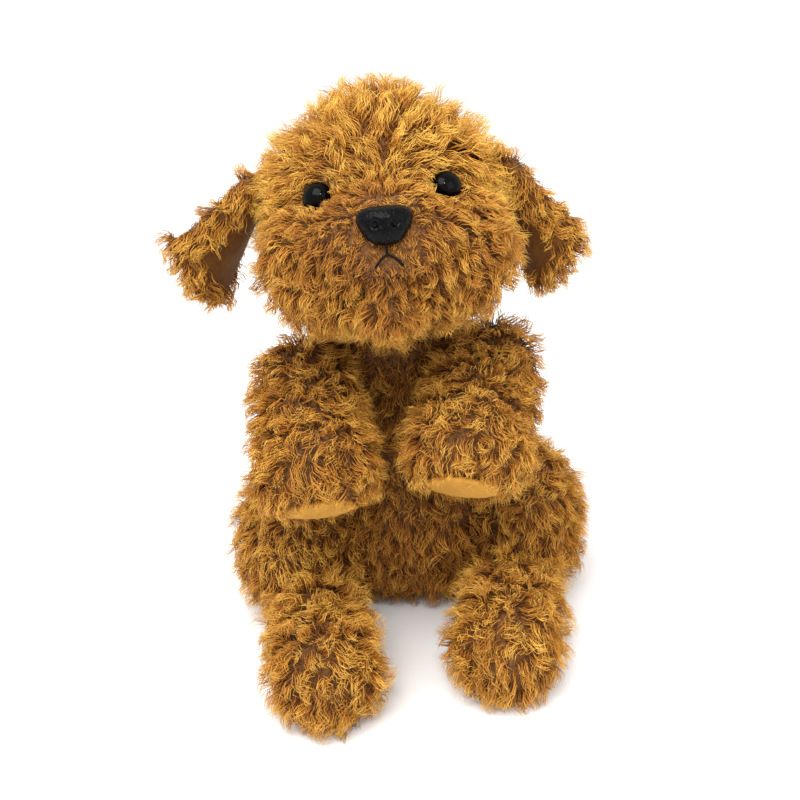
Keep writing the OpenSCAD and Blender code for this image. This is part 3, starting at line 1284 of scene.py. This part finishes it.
@dataclass(frozen=True)
class HeadCoat:
    """The head's pile: short round the nose, eyes and mouth, long on the cheeks and crown, and lighter
    towards the crown as painted light from above.
    """

    at: Matrix
    eye: tuple[float, float, float] = (24.5, -36.3, 5.0)
    nose: tuple[float, float, float] = (0.0, -64.5, -10.0)
    mouth: tuple[tuple[float, float], ...] = ((0.0, -17.5), (0.0, -22.0), (7.0, -26.0), (-7.0, -26.0))
    crown_pile: float = 13.0
    muzzle_pile: float = 7.5
    face_pile: float = 10.0

    def grow(self, points: np.ndarray, normals: np.ndarray) -> Growth:
        """The pile at each point of the head's skin.

        Args:
            points: places, n by 3.
            normals: the outward direction at each point.
        Returns:
            The growth.
        """
        back = np.array(self.at.inverted().to_3x3())
        local = (points - np.array(self.at.translation)) @ back.T / MM
        facing = normals @ back.T
        from_nose = np.linalg.norm(local - self.nose, axis=1)
        eyes = [(side.sign * self.eye[0], *self.eye[1:]) for side in Side]
        from_eye = np.minimum(*(np.linalg.norm(local - eye, axis=1) for eye in eyes))
        muzzle = 1 - ramp(from_nose, 22, 40)
        pile = self.crown_pile + (self.face_pile - self.crown_pile) * (1 - ramp(local[:, 1], -48, -22))
        pile = pile + (self.muzzle_pile - pile) * muzzle
        pile *= 1 + 0.1 * ripple(points, 18 * MM, 6)
        pile *= 1 + 0.35 * ramp(np.abs(local[:, 0]), 16, 34) * ramp(local[:, 2], 4, 20)
        pile *= 0.5 + 0.5 * ramp(from_nose, 9, 21)
        pile *= 0.36 + 0.64 * ramp(from_eye, 6.5, 15)
        from_mouth = self._from_mouth(local)
        pile *= 0.4 + 0.6 * ramp(from_mouth, 0.8, 6)
        out = unit(local - (0.0, -59.0, 2.0))
        out[:, 1] *= 0.6
        hang = ramp(np.abs(local[:, 0]), 16, 42)[:, None] * (0.0, 0.0, -1.0) + (0.0, 0.0, -0.12)
        comb = unit(tangent(out + hang * 1.3, facing)) * 0.9
        cover = ramp(from_eye, 6.2, 7.0) * ramp(from_nose, 5.5, 7.5) * ramp(from_mouth, 0.2, 0.8)
        cover *= clear_of(points, ("neck_plug",), 1.5 * MM, 4 * MM)
        turn = np.array(self.at.to_3x3())
        # tone: random patches, darker over the muzzle, and lighter towards the crown; the crown's lift is
        # painted light from above
        tone = 0.05 * ripple(points, 30 * MM, 5) - 0.08 * muzzle - 0.08 + 0.16 * ramp(local[:, 2], -14, 12)
        return Growth(comb @ turn.T, pile * MM, np.full(len(points), 0.8), tone, cover)

    def _from_mouth(self, local: np.ndarray) -> np.ndarray:
        """Distance from the mouth's lines, seen from the front.

        Args:
            local: places in the head's own axes, in mm.
        Returns:
            One distance a point.
        """
        flat = local[:, (0, 2)]
        top, fork, *ends = (np.array(p) for p in self.mouth)
        far = np.full(len(flat), 1e9)
        for a, b in ((top, fork), *((fork, end) for end in ends)):
            t = np.clip(((flat - a) @ (b - a)) / ((b - a) @ (b - a)), 0, 1)
            far = np.minimum(far, np.linalg.norm(flat - a - t[:, None] * (b - a), axis=1))
        return far + 100.0 * (local[:, 1] > -40)


@dataclass(frozen=True)
class FlowCoat:
    """Pile that flows from one place to another and hangs a little."""

    start: np.ndarray
    end: np.ndarray
    clear: tuple[str, ...]
    pile: float = 14.0
    hang: float = 0.45
    rise: float = 0.8
    # how much darker (below 0) the section's pile is; on the torso this is painted shade, and the arms and
    # legs are a little darker too
    shade: float = 0.0
    pad: str = ""
    pad_bare: float = 1.2
    collar: tuple[float, float] = (1.0, 2.0)

    def grow(self, points: np.ndarray, normals: np.ndarray) -> Growth:
        """The pile at each point of the section's skin.

        Args:
            points: places, n by 3.
            normals: the outward direction at each point.
        Returns:
            The growth.
        """
        flow = unit(self.end - self.start)
        comb = unit(tangent(flow + (0.0, 0.0, -self.hang), normals) + 1e-6) * 0.9
        pile = self.pile * MM * (1 + 0.08 * ripple(points, 22 * MM, 8))
        cover = clear_of(points, self.clear, 4.2 * MM, 6.5 * MM) * ramp(points[:, 2], 0.5 * MM, 2.5 * MM)
        if self.pad:
            far = nearness(points, self.pad)
            cover *= ramp(far, 0.4 * self.pad_bare * MM, self.pad_bare * MM)
            pile *= 0.55 + 0.45 * ramp(far, 1 * MM, 9 * MM)
        low = ramp(points[:, 2], 1 * MM, 14 * MM)
        pile *= 0.6 + 0.4 * low
        tone = self.shade + 0.05 * ripple(points, 34 * MM, 9)
        rise = self.rise + 1.1 * ramp(points[:, 2], *self.collar)
        return Growth(comb, pile, rise, tone, cover)


@dataclass(frozen=True)
class NeckCoat:
    """The pile of the band of neck that shows between head and torso, darkened as painted shade under the
    chin.
    """

    band: tuple[float, float] = (0.1265, 0.150)
    pile: float = 12.0
    rise: float = 1.2
    # darker pile here is painted shade under the chin
    shade: float = -0.1

    def grow(self, points: np.ndarray, normals: np.ndarray) -> Growth:
        """The pile at each point of the neck's skin.

        Args:
            points: places, n by 3.
            normals: the outward direction at each point.
        Returns:
            The growth.
        """
        count = len(points)
        edge = 2 * MM
        low, high = self.band
        height = points[:, 2]
        cover = ramp(height, low, low + edge) * (1 - ramp(height, high - edge, high))
        comb = unit(tangent(np.zeros((count, 3)) + (0.0, 0.0, -1.0), normals) + 1e-6) * 0.6
        pile, rise, tone = (np.full(count, value) for value in (self.pile * MM, self.rise, self.shade))
        return Growth(comb, pile, rise, tone, cover)


@dataclass(frozen=True)
class EarCoat:
    """The outside of an ear: pile that runs down the leaf."""

    root: np.ndarray
    tip: np.ndarray
    pile: float = 9.0
    rise: float = 0.6

    def grow(self, points: np.ndarray, normals: np.ndarray) -> Growth:
        """The pile at each point of the ear's skin.

        Args:
            points: places, n by 3.
            normals: the outward direction at each point.
        Returns:
            The growth.
        """
        flow = unit(self.tip - self.root)
        spread = unit(points - (self.root + (self.tip - self.root) * 0.25))
        comb = unit(tangent(flow + spread * 0.5 + (0.0, 0.0, -0.3), normals)) * 0.95
        count = len(points)
        tone = 0.05 * ripple(points, 20 * MM, 4)
        pile, rise = np.full(count, self.pile * MM), np.full(count, self.rise)
        return Growth(comb, pile, rise, tone, np.ones(count))


# ---------------------------------------------------------------- face


def lathe(
    profile: Sequence[tuple[float, float]], sides: int = 64
) -> tuple[np.ndarray, list[tuple[int, ...]]]:
    """Turns a profile of (radius, height) about Z, with both ends on the axis.

    Args:
        profile: from the bottom of the axis to the top.
        sides: facets round it.
    Returns:
        The points and the faces.
    """
    points, faces = [(0.0, 0.0, profile[0][1])], []
    for radius, height in profile[1:-1]:
        for side in range(sides):
            angle = 2 * math.pi * side / sides
            points.append((radius * math.cos(angle), radius * math.sin(angle), height))
    points.append((0.0, 0.0, profile[-1][1]))
    last, rings = len(points) - 1, len(profile) - 2
    for side in range(sides):
        after = (side + 1) % sides
        faces.append((0, 1 + after, 1 + side))
        for ring in range(rings - 1):
            a, b = 1 + ring * sides, 1 + (ring + 1) * sides
            faces.append((a + side, a + after, b + after, b + side))
        top = 1 + (rings - 1) * sides
        faces.append((top + side, top + after, last))
    return np.array(points), faces


@dataclass(frozen=True)
class Eye:
    """A domed safety eye with a shaft into the head."""

    side: Side
    frame: HeadFrame
    radius: float = 6.1
    bulge: float = 5.0
    shaft: float = 2.0
    shaft_length: float = 13.0

    def build(self, at: Matrix, palette: Palette) -> bpy.types.Object:
        """Makes the eye at its place in the head.

        Args:
            at: the head's place.
            palette: the materials.
        Returns:
            The piece.
        """
        dome = [
            (self.radius * math.sin(a), 1.0 + self.bulge * math.cos(a) - 1.0)
            for a in np.linspace(math.pi / 2, 0.0, 18)
        ]
        stem = [(self.shaft, -self.shaft_length), (self.shaft, -1.4)]
        rim = [*stem, (self.radius * 0.93, -1.2), (self.radius, -0.5)]
        profile = [(0.0, -self.shaft_length), *rim, *dome[:-1], (0.0, self.bulge)]
        points, faces = lathe(profile)
        piece = mesh_object(f"eye_{self.side}_dome", points * MM, faces)
        sign = self.side.sign
        x, y, z = self.frame.eye
        yaw = Matrix.Rotation(math.radians(sign * self.frame.eye_yaw), 4, "Z")
        turn = yaw @ Matrix.Rotation(math.pi / 2, 4, "X")
        piece.data.transform(at @ Matrix.Translation(Vector((sign * x, y, z)) * MM) @ turn)
        piece.data.materials.append(palette.eye)
        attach(piece, "head")
        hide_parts(f"eye_{self.side}")
        return piece


@dataclass(frozen=True)
class Nose:
    """A moulded nose: a rounded triangle with two nostrils and a groove."""

    frame: HeadFrame
    half_width: float = 10.4
    half_height: float = 7.7
    depth: float = 6.6
    taper: float = 0.34
    nostril_at: tuple[float, float] = (3.5, -0.6)
    nostril_size: tuple[float, float] = (1.7, 1.3)
    nostril_depth: float = 2.1
    groove_depth: float = 1.3

    def build(self, at: Matrix, palette: Palette) -> bpy.types.Object:
        """Makes the nose at the muzzle's end.

        Args:
            at: the head's place.
            palette: the materials.
        Returns:
            The piece.
        """
        bm = bmesh.new()
        bmesh.ops.create_icosphere(bm, subdivisions=5, radius=1.0)
        mesh = bpy.data.meshes.new("nose_form")
        bm.to_mesh(mesh)
        bm.free()
        points, _, faces = arrays(mesh)
        bpy.data.meshes.remove(mesh)
        x, y, z = points.T
        square = 1.0 + 0.13 * (x * z) ** 2 * 4
        width = self.half_width * (1 - self.taper * ramp(-z, -0.35, 1.0))
        px, pz = x * width * square, z * self.half_height * (1 - 0.14 * ramp(z, 0.3, 1.0)) * square
        front = ramp(-y, 0.0, 0.5)
        nostril_x, nostril_z = self.nostril_at
        wide, tall = self.nostril_size
        nostril = sum(
            np.exp(-(((px - side.sign * nostril_x) / wide) ** 2 + ((pz - nostril_z) / tall) ** 2))
            for side in Side
        )
        groove = np.exp(-((px / 0.75) ** 2)) * ramp(-pz, -2.0, 3.0)
        py = y * self.depth + front * (self.nostril_depth * nostril + self.groove_depth * groove)
        piece = mesh_object("nose_moulding", np.stack([px, py, pz - 1.6], 1) * MM, faces)
        piece.data.transform(at @ Matrix.Translation(Vector(self.frame.nose) * MM))
        piece.data.materials.append(palette.nose)
        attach(piece, "head")
        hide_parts("nose")
        return piece


class StitchTree:
    """The Geometry Nodes tree that lays threads across a line."""

    def __init__(self, thread: bpy.types.Object, material: bpy.types.Material) -> None:
        """Builds the tree round one thread template.

        Args:
            thread: the thread template.
            material: the threads' material.
        """
        self.graph = Tree("stitch_tree")
        t = self.graph
        self.step = t.named("Step")
        entry = t.entry.outputs
        curve = t.node("GeometryNodeMeshToCurve", None, {0: entry["Geometry"]}).outputs[0]
        spaced = {"Curve": curve, "Length": entry["Step"]}
        line = t.node("GeometryNodeResampleCurve", {"mode": "LENGTH"}, spaced)
        points = t.node("GeometryNodeCurveToPoints", {"mode": "EVALUATED"}, {0: line.outputs[0]})
        align = "FunctionNodeAlignRotationToVector"
        along = t.node(align, {"axis": "X"}, {"Vector": points.outputs["Tangent"]}).outputs[0]
        facing = {"Rotation": along, "Vector": t.read("outward", "FLOAT_VECTOR")}
        turn = t.node(align, {"axis": "Z"}, facing)
        turn.pivot_axis = "X"
        real = t.placed(thread, {"Points": points.outputs["Points"], "Rotation": turn.outputs[0]})
        done = t.node("GeometryNodeSetMaterial", None, {"Geometry": real, "Material": material}).outputs[0]
        t.tree.links.new(done, t.exit.inputs[0])

    def sew(self, points: np.ndarray, outward: np.ndarray, name: str, step: float) -> bpy.types.Object:
        """Lays threads across the line through the points.

        Args:
            points: along the line.
            outward: the way out of the cloth at each.
            name: the new piece's name.
            step: distance between threads.
        Returns:
            The threads as a plain mesh.
        """
        line = mesh_object("stitch_line", points, [])
        line.data.edges.add(len(points) - 1)
        line.data.edges.foreach_set("vertices", [n for i in range(len(points) - 1) for n in (i, i + 1)])
        line.data.update()
        stored = line.data.attributes.new("outward", "FLOAT_VECTOR", "POINT")
        stored.data.foreach_set("vector", outward.astype(np.float32).ravel())
        modifier = line.modifiers.new("stitches", "NODES")
        modifier.node_group = self.graph.tree
        modifier[self.step] = step
        made = evaluated(line, name)
        for attribute in [a.name for a in made.data.attributes if a.name == "outward"]:
            made.data.attributes.remove(made.data.attributes[attribute])
        drop(line)
        return made


@dataclass(frozen=True)
class Mouth:
    """The satin-stitched mouth below the nose."""

    frame: HeadFrame
    middle: tuple[float, float, float] = (0.0, -46.0, -14.0)
    half_width: float = 26.0
    radius: float = 18.0
    strokes: tuple[tuple[tuple[float, float], ...], ...] = (
        ((0.0, -16.5), (0.0, -19.0), (0.0, -22.2)),
        ((0.2, -21.8), (2.2, -22.8), (4.0, -24.3), (5.8, -26.2)),
        ((-0.2, -21.8), (-1.9, -22.8), (-3.4, -24.2), (-4.6, -25.8)),
    )
    width: float = 1.0
    thickness: float = 0.42
    step: float = 0.34
    proud: float = 1.2

    def build(self, at: Matrix, palette: Palette) -> bpy.types.Object:
        """Sews the mouth as one piece.

        Args:
            at: the head's place.
            palette: the materials.
        Returns:
            The piece.
        """
        thread = self._thread()
        tree = StitchTree(thread, palette.thread)
        runs = []
        for number, stroke in enumerate(self.strokes):
            places, outward = self._on_muzzle(np.array(stroke))
            world = np.array([at @ Vector(p * MM) for p in places])
            out = np.array([at.to_3x3() @ Vector(o) for o in outward])
            runs.append(tree.sew(world, out, f"mouth_run_{number}", self.step * MM))
        bm = bmesh.new()
        for run in runs:
            bm.from_mesh(run.data)
        mesh = bpy.data.meshes.new("mouth_satin_stitch")
        bm.to_mesh(mesh)
        bm.free()
        mesh.materials.append(palette.thread)
        for run in runs:
            drop(run)
        drop(thread)
        piece = bpy.data.objects.new("mouth_satin_stitch", mesh)
        bpy.context.scene.collection.objects.link(piece)
        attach(piece, "head")
        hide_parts("mouth_stitching")
        return piece

    def _thread(self) -> bpy.types.Object:
        """One thread, arched across the line.

        Returns:
            The template.
        """
        rows, around = 7, 6
        points, faces = [], []
        for row in range(rows):
            t = 2 * row / (rows - 1) - 1
            for side in range(around):
                angle = 2 * math.pi * side / around
                r = self.thickness / 2 * (1 - 0.5 * abs(t) ** 4)
                lift = 0.55 * (1 - t * t) - 0.35
                points.append((math.cos(angle) * r, t * self.width / 2, math.sin(angle) * r + lift))
        for row in range(rows - 1):
            for side in range(around):
                a, b = row * around + side, row * around + (side + 1) % around
                faces.append((a, a + around, b + around, b))
        faces += [tuple(range(around)), tuple(reversed(range((rows - 1) * around, rows * around)))]
        piece = mesh_object("thread_template", np.array(points) * MM, faces)
        bm = bmesh.new()
        bm.from_mesh(piece.data)
        bmesh.ops.recalc_face_normals(bm, faces=bm.faces)
        bm.to_mesh(piece.data)
        bm.free()
        return piece

    def _on_muzzle(self, stroke: np.ndarray) -> tuple[np.ndarray, np.ndarray]:
        """The stroke's places on the muzzle's front and the way out there.

        Args:
            stroke: the corners of the stroke, seen from the front.
        Returns:
            The places and the outward directions.
        """
        fine = np.linspace(0, len(stroke) - 1, 24)
        flat = np.stack([np.interp(fine, np.arange(len(stroke)), stroke[:, k]) for k in (0, 1)], 1)
        a, r = self.half_width + self.proud, self.radius + self.proud
        x, z = flat[:, 0] - self.middle[0], flat[:, 1] - self.middle[2]
        y = -r * np.sqrt(np.maximum(1 - (x / a) ** 2 - (z / r) ** 2, 0.02))
        places = np.stack([flat[:, 0], y + self.middle[1], flat[:, 1]], 1)
        return places, unit(np.stack([x / a**2, y / r**2, z / r**2], 1))


@dataclass(frozen=True)
class Pad:
    """A velour pad at the end of a paw or under a foot."""

    node: str
    body: str
    puff: float = 2.0
    voxel: float = 0.9
    ground: float = -1.0

    def build(self, palette: Palette, towards: np.ndarray) -> bpy.types.Object:
        """Makes the pad, puffed out on the side that faces towards the given direction.

        Args:
            palette: the materials.
            towards: the side to puff out.
        Returns:
            The piece.
        """
        raw = cad_copy(f"{self.node}_raw", (self.node,))
        remesh = raw.modifiers.new("remesh", "REMESH")
        remesh.mode, remesh.voxel_size = "VOXEL", self.voxel * MM
        soften = raw.modifiers.new("soften", "SMOOTH")
        soften.factor, soften.iterations = 0.5, 4
        piece = evaluated(raw, f"{self.node}_velour")
        drop(raw)
        points, _, _ = arrays(piece.data)
        middle = points.mean(0)
        out = np.linalg.svd(points - middle, full_matrices=False)[2][2]
        out = out * math.copysign(1.0, float(out @ towards))
        flat = points - middle - ((points - middle) @ out)[:, None] * out
        reach = np.linalg.norm(flat, axis=1)
        dome = 1 - (reach / reach.max()) ** 2
        front = ramp((points - middle) @ out, -0.6 * MM, 0.6 * MM)
        raised = self.puff * MM * dome * front + 0.12 * MM * ripple(points, 5 * MM, 3)
        points = points + out * raised[:, None]
        points[:, 2] = np.maximum(points[:, 2], self.ground)
        piece.data.vertices.foreach_set("co", points.ravel())
        piece.data.update()
        piece.data.polygons.foreach_set("use_smooth", [True] * len(piece.data.polygons))
        piece.data.materials.append(palette.pad)
        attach(piece, self.body)
        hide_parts(self.node)
        return piece


# ---------------------------------------------------------------- the toy and the studio


@dataclass(frozen=True)
class Toy:
    """The whole puppy: how dense its pile is and where its sections meet."""

    head_density: float = 0.84e6
    torso_density: float = 0.50e6
    limb_density: float = 0.61e6
    ear_density: float = 0.95e6
    ground: float = 0.4 * MM

    def build(self) -> None:
        """Builds every section and piece in order."""
        palette = Palette()
        tree = PileTree(PileSize(), palette.pile)
        axes = HeadFrame()
        at = axes.matrix()
        self._inner(palette)
        self._head(tree, palette, at)
        self._torso(tree, palette)
        for number, side in enumerate(Side):
            self._arm(side, tree, palette, 100 + number * 10)
            self._leg(side, tree, palette, 200 + number * 10)
            self._ear(side, tree, palette, 300 + number * 10)
            Eye(side, axes).build(at, palette)
        self._tail(tree, palette)
        Nose(axes).build(at, palette)
        Mouth(axes).build(at, palette)
        drop(tree.strand)

    @staticmethod
    def _inner(palette: Palette) -> None:
        """Gives the carried-over inner pieces their materials.

        Args:
            palette: the materials.
        """
        for name, node in frame["nodes"].items():
            material = palette.washer if "washer" in name else None
            material = palette.calico if name == "pellet_bag" else material
            if material:
                node.data.materials.clear()
                node.data.materials.append(material)

    def _head(self, tree: PileTree, palette: Palette, at: Matrix) -> None:
        """The head's panels.

        Args:
            tree: the pile's node tree.
            palette: the materials.
            at: the head's place.
        """
        panels = ("head_gusset", "head_side_left", "head_side_right", "muzzle_panel", "chin_panel")
        plan = Plan("head", ("head_filling", *panels), panels, self.head_density, filling="head_filling")
        Section(plan, HeadCoat(at).grow).build(tree, palette, 10)
        log.info("head done")

    def _torso(self, tree: PileTree, palette: Palette) -> None:
        """The torso's panels.

        Args:
            tree: the pile's node tree.
            palette: the materials.
        """
        panels = ("back_panel_left", "back_panel_right", "belly_panel", "seat_panel")
        limbs = (f"{limb}_filling_{side}" for limb in ("arm", "leg") for side in Side)
        clear = ("neck_plug", "tail_filling", *limbs)
        top, bottom = joint_at("head_nod"), middle_of("seat_panel")
        # shade=-0.15 darkens the torso's pile: painted shade on the chest and belly under the chin and arms
        coat = FlowCoat(top, bottom, clear, pile=11.0, hang=0.2, rise=0.8, shade=-0.15, collar=(0.112, 0.130))
        nodes = ("torso_filling", "pellet_bag", *panels)
        plan = Plan("torso", nodes, panels, self.torso_density, ground=self.ground, filling=nodes[0])
        Section(plan, coat.grow).build(tree, palette, 40)
        plug = ("neck_plug",)
        neck = Plan("neck", plug, plug, self.limb_density, 1.8 * MM, filling="neck_plug")
        Section(neck, NeckCoat().grow).build(tree, palette, 60)
        log.info("torso and neck done")

    def _arm(self, side: Side, tree: PileTree, palette: Palette, seed: int) -> None:
        """One arm with its paw pad.

        Args:
            side: which side.
            tree: the pile's node tree.
            palette: the materials.
            seed: fixes the scatter.
        """
        panels = (f"arm_outer_{side}", f"arm_inner_{side}")
        start, end = joint_at(f"arm_{side}_swing"), middle_of(f"paw_pad_{side}")
        pad = f"paw_pad_{side}"
        coat = FlowCoat(start, end, ("torso_filling",), pile=11.5, hang=0.4, shade=-0.07, pad=pad)
        filling = f"arm_filling_{side}"
        plan = Plan(f"arm_{side}", (filling, *panels), panels, self.limb_density, 2.1 * MM, filling=filling)
        Section(plan, coat.grow).build(tree, palette, seed)
        Pad(pad, f"arm_{side}").build(palette, unit(end - start))
        log.info("arm %s done", side)

    def _leg(self, side: Side, tree: PileTree, palette: Palette, seed: int) -> None:
        """One leg with its sole pad.

        Args:
            side: which side.
            tree: the pile's node tree.
            palette: the materials.
            seed: fixes the scatter.
        """
        panels = (f"leg_outer_{side}", f"leg_inner_{side}")
        start, end = joint_at(f"leg_{side}_lift"), middle_of(f"sole_pad_{side}")
        toe = np.array([end[0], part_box(f"sole_pad_{side}")[0][1], end[2]])
        coat = FlowCoat(start, toe, ("torso_filling",), pile=12.5, hang=0.5, shade=-0.04)
        nodes = (f"leg_filling_{side}", f"sole_pad_{side}", *panels)
        dense, ground = self.limb_density, self.ground
        plan = Plan(f"leg_{side}", nodes, panels, dense, ground=ground, filling=nodes[0])
        Section(plan, coat.grow).build(tree, palette, seed)
        down = np.array((0.0, 0.0, -1.0))
        Pad(f"sole_pad_{side}", f"leg_{side}", 0.0, ground=0.05 * MM).build(palette, down)
        log.info("leg %s done", side)

    def _ear(self, side: Side, tree: PileTree, palette: Palette, seed: int) -> None:
        """One ear.

        Args:
            side: which side.
            tree: the pile's node tree.
            palette: the materials.
            seed: fixes the scatter.
        """
        fur, lining = f"ear_fur_{side}", f"ear_lining_{side}"
        root = joint_at(f"ear_{side}_flap")
        tip = root + (middle_of(fur) - root) * 2
        leaf = (fur, lining)
        thin = {"voxel": 1.1 * MM, "smoothing": 5, "lump": 0.4 * MM, "backing": 1.0 * MM}
        plan = Plan(f"ear_{side}", leaf, leaf, self.ear_density, bare=(lining,), **thin)
        Section(plan, EarCoat(root, tip).grow).build(tree, palette, seed)
        log.info("ear %s done", side)

    def _tail(self, tree: PileTree, palette: Palette) -> None:
        """The tail.

        Args:
            tree: the pile's node tree.
            palette: the materials.
        """
        start, low_high = joint_at("tail_wag"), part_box("tail_cover")
        end = np.array([start[0], low_high[1][1], low_high[1][2]])
        coat = FlowCoat(start, end, ("torso_filling",), pile=11.0, hang=0.0)
        nodes = ("tail_filling", "tail_cover")
        plan = Plan("tail", nodes, nodes[1:], self.limb_density, 1.6 * MM, filling="tail_filling")
        Section(plan, coat.grow).build(tree, palette, 400)
        log.info("tail done")


@dataclass(frozen=True)
class Studio:
    """A pale floor, soft lights and the camera."""

    target: tuple[float, float, float] = (0.0, -0.0182, 0.1008)
    elevation: float = 25.0
    roll: float = 5.0
    distance: float = 0.600
    focal: float = 64.3
    sensor: float = 36.0
    floor_size: float = 6.0
    sky: float = 1.03
    key: float = 13.0
    fill: float = 3.0
    spark: float = 2.4

    def build(self) -> None:
        """Sets the scene round the toy."""
        scene = bpy.context.scene
        scene.view_settings.view_transform = "Standard"
        self._floor()
        self._world(scene)
        self._lamp("key_light", (-0.35, -0.55, 1.25), 0.9, self.key)
        self._lamp("fill_light", (0.9, -0.9, 0.7), 0.9, self.fill)
        self._lamp("spark_light", (0.10, -0.75, 0.95), 0.10, self.spark)
        self._camera(scene)

    def _floor(self) -> None:
        """The pale floor."""
        half = self.floor_size / 2
        corners = np.array([(-half, -half, 0), (half, -half, 0), (half, half, 0), (-half, half, 0)])
        floor = mesh_object("studio_floor", corners, [(0, 1, 2, 3)])
        graph = Graph("floor_paper")
        grain = graph.noise(graph.place(), 40.0, 2.0)
        paper = graph.blend(grain, (0.94, 0.94, 0.94), (0.96, 0.96, 0.96))
        floor.data.materials.append(graph.finish(Base_Color=paper, Roughness=0.9))

    def _world(self, scene: bpy.types.Scene) -> None:
        """A soft white sky.

        Args:
            scene: the scene.
        """
        world = bpy.data.worlds.new("studio_sky")
        world.use_nodes = True
        background = world.node_tree.nodes["Background"]
        background.inputs["Color"].default_value = (1.0, 1.0, 1.0, 1.0)
        background.inputs["Strength"].default_value = self.sky
        scene.world = world

    def _lamp(self, name: str, place: tuple[float, float, float], size: float, power: float) -> None:
        """A square soft light that faces the toy.

        Args:
            name: the lamp's name.
            place: where it stands.
            size: the edge of the lamp, in metres.
            power: in watts.
        """
        data = bpy.data.lights.new(name, "AREA")
        data.size, data.energy = size, power
        lamp = bpy.data.objects.new(name, data)
        lamp.location = place
        lamp.rotation_euler = (Vector(place) - Vector(self.target)).to_track_quat("Z", "Y").to_euler()
        bpy.context.scene.collection.objects.link(lamp)

    def _camera(self, scene: bpy.types.Scene) -> None:
        """The camera in front of the toy, a little above.

        Args:
            scene: the scene.
        """
        data = bpy.data.cameras.new("camera")
        data.lens, data.sensor_width, data.clip_start = self.focal, self.sensor, 0.02
        camera = bpy.data.objects.new("camera", data)
        lift = math.radians(self.elevation)
        away = Vector((0.0, -math.cos(lift), math.sin(lift)))
        camera.location = Vector(self.target) + away * self.distance
        turn = Matrix.Rotation(math.radians(-self.roll), 3, "Z")
        camera.rotation_euler = (away.to_track_quat("Z", "Y").to_matrix() @ turn).to_euler()
        scene.collection.objects.link(camera)
        scene.camera = camera


def main() -> None:
    """Builds the toy and the studio."""
    logging.basicConfig(level=logging.INFO, format="%(message)s")
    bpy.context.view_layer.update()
    Toy().build()
    Studio().build()
    pieces = [o for o in bpy.data.objects if o.type == "MESH" and "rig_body" in o and not o.hide_render]
    counts = {o.name: sum(len(p.vertices) - 2 for p in o.data.polygons) for o in pieces}
    largest = max(counts, key=counts.get)
    total, most = sum(counts.values()), counts[largest]
    log.info("%d pieces, %d triangles, most in %s: %d", len(pieces), total, largest, most)


if __name__ == "__main__":
    main()
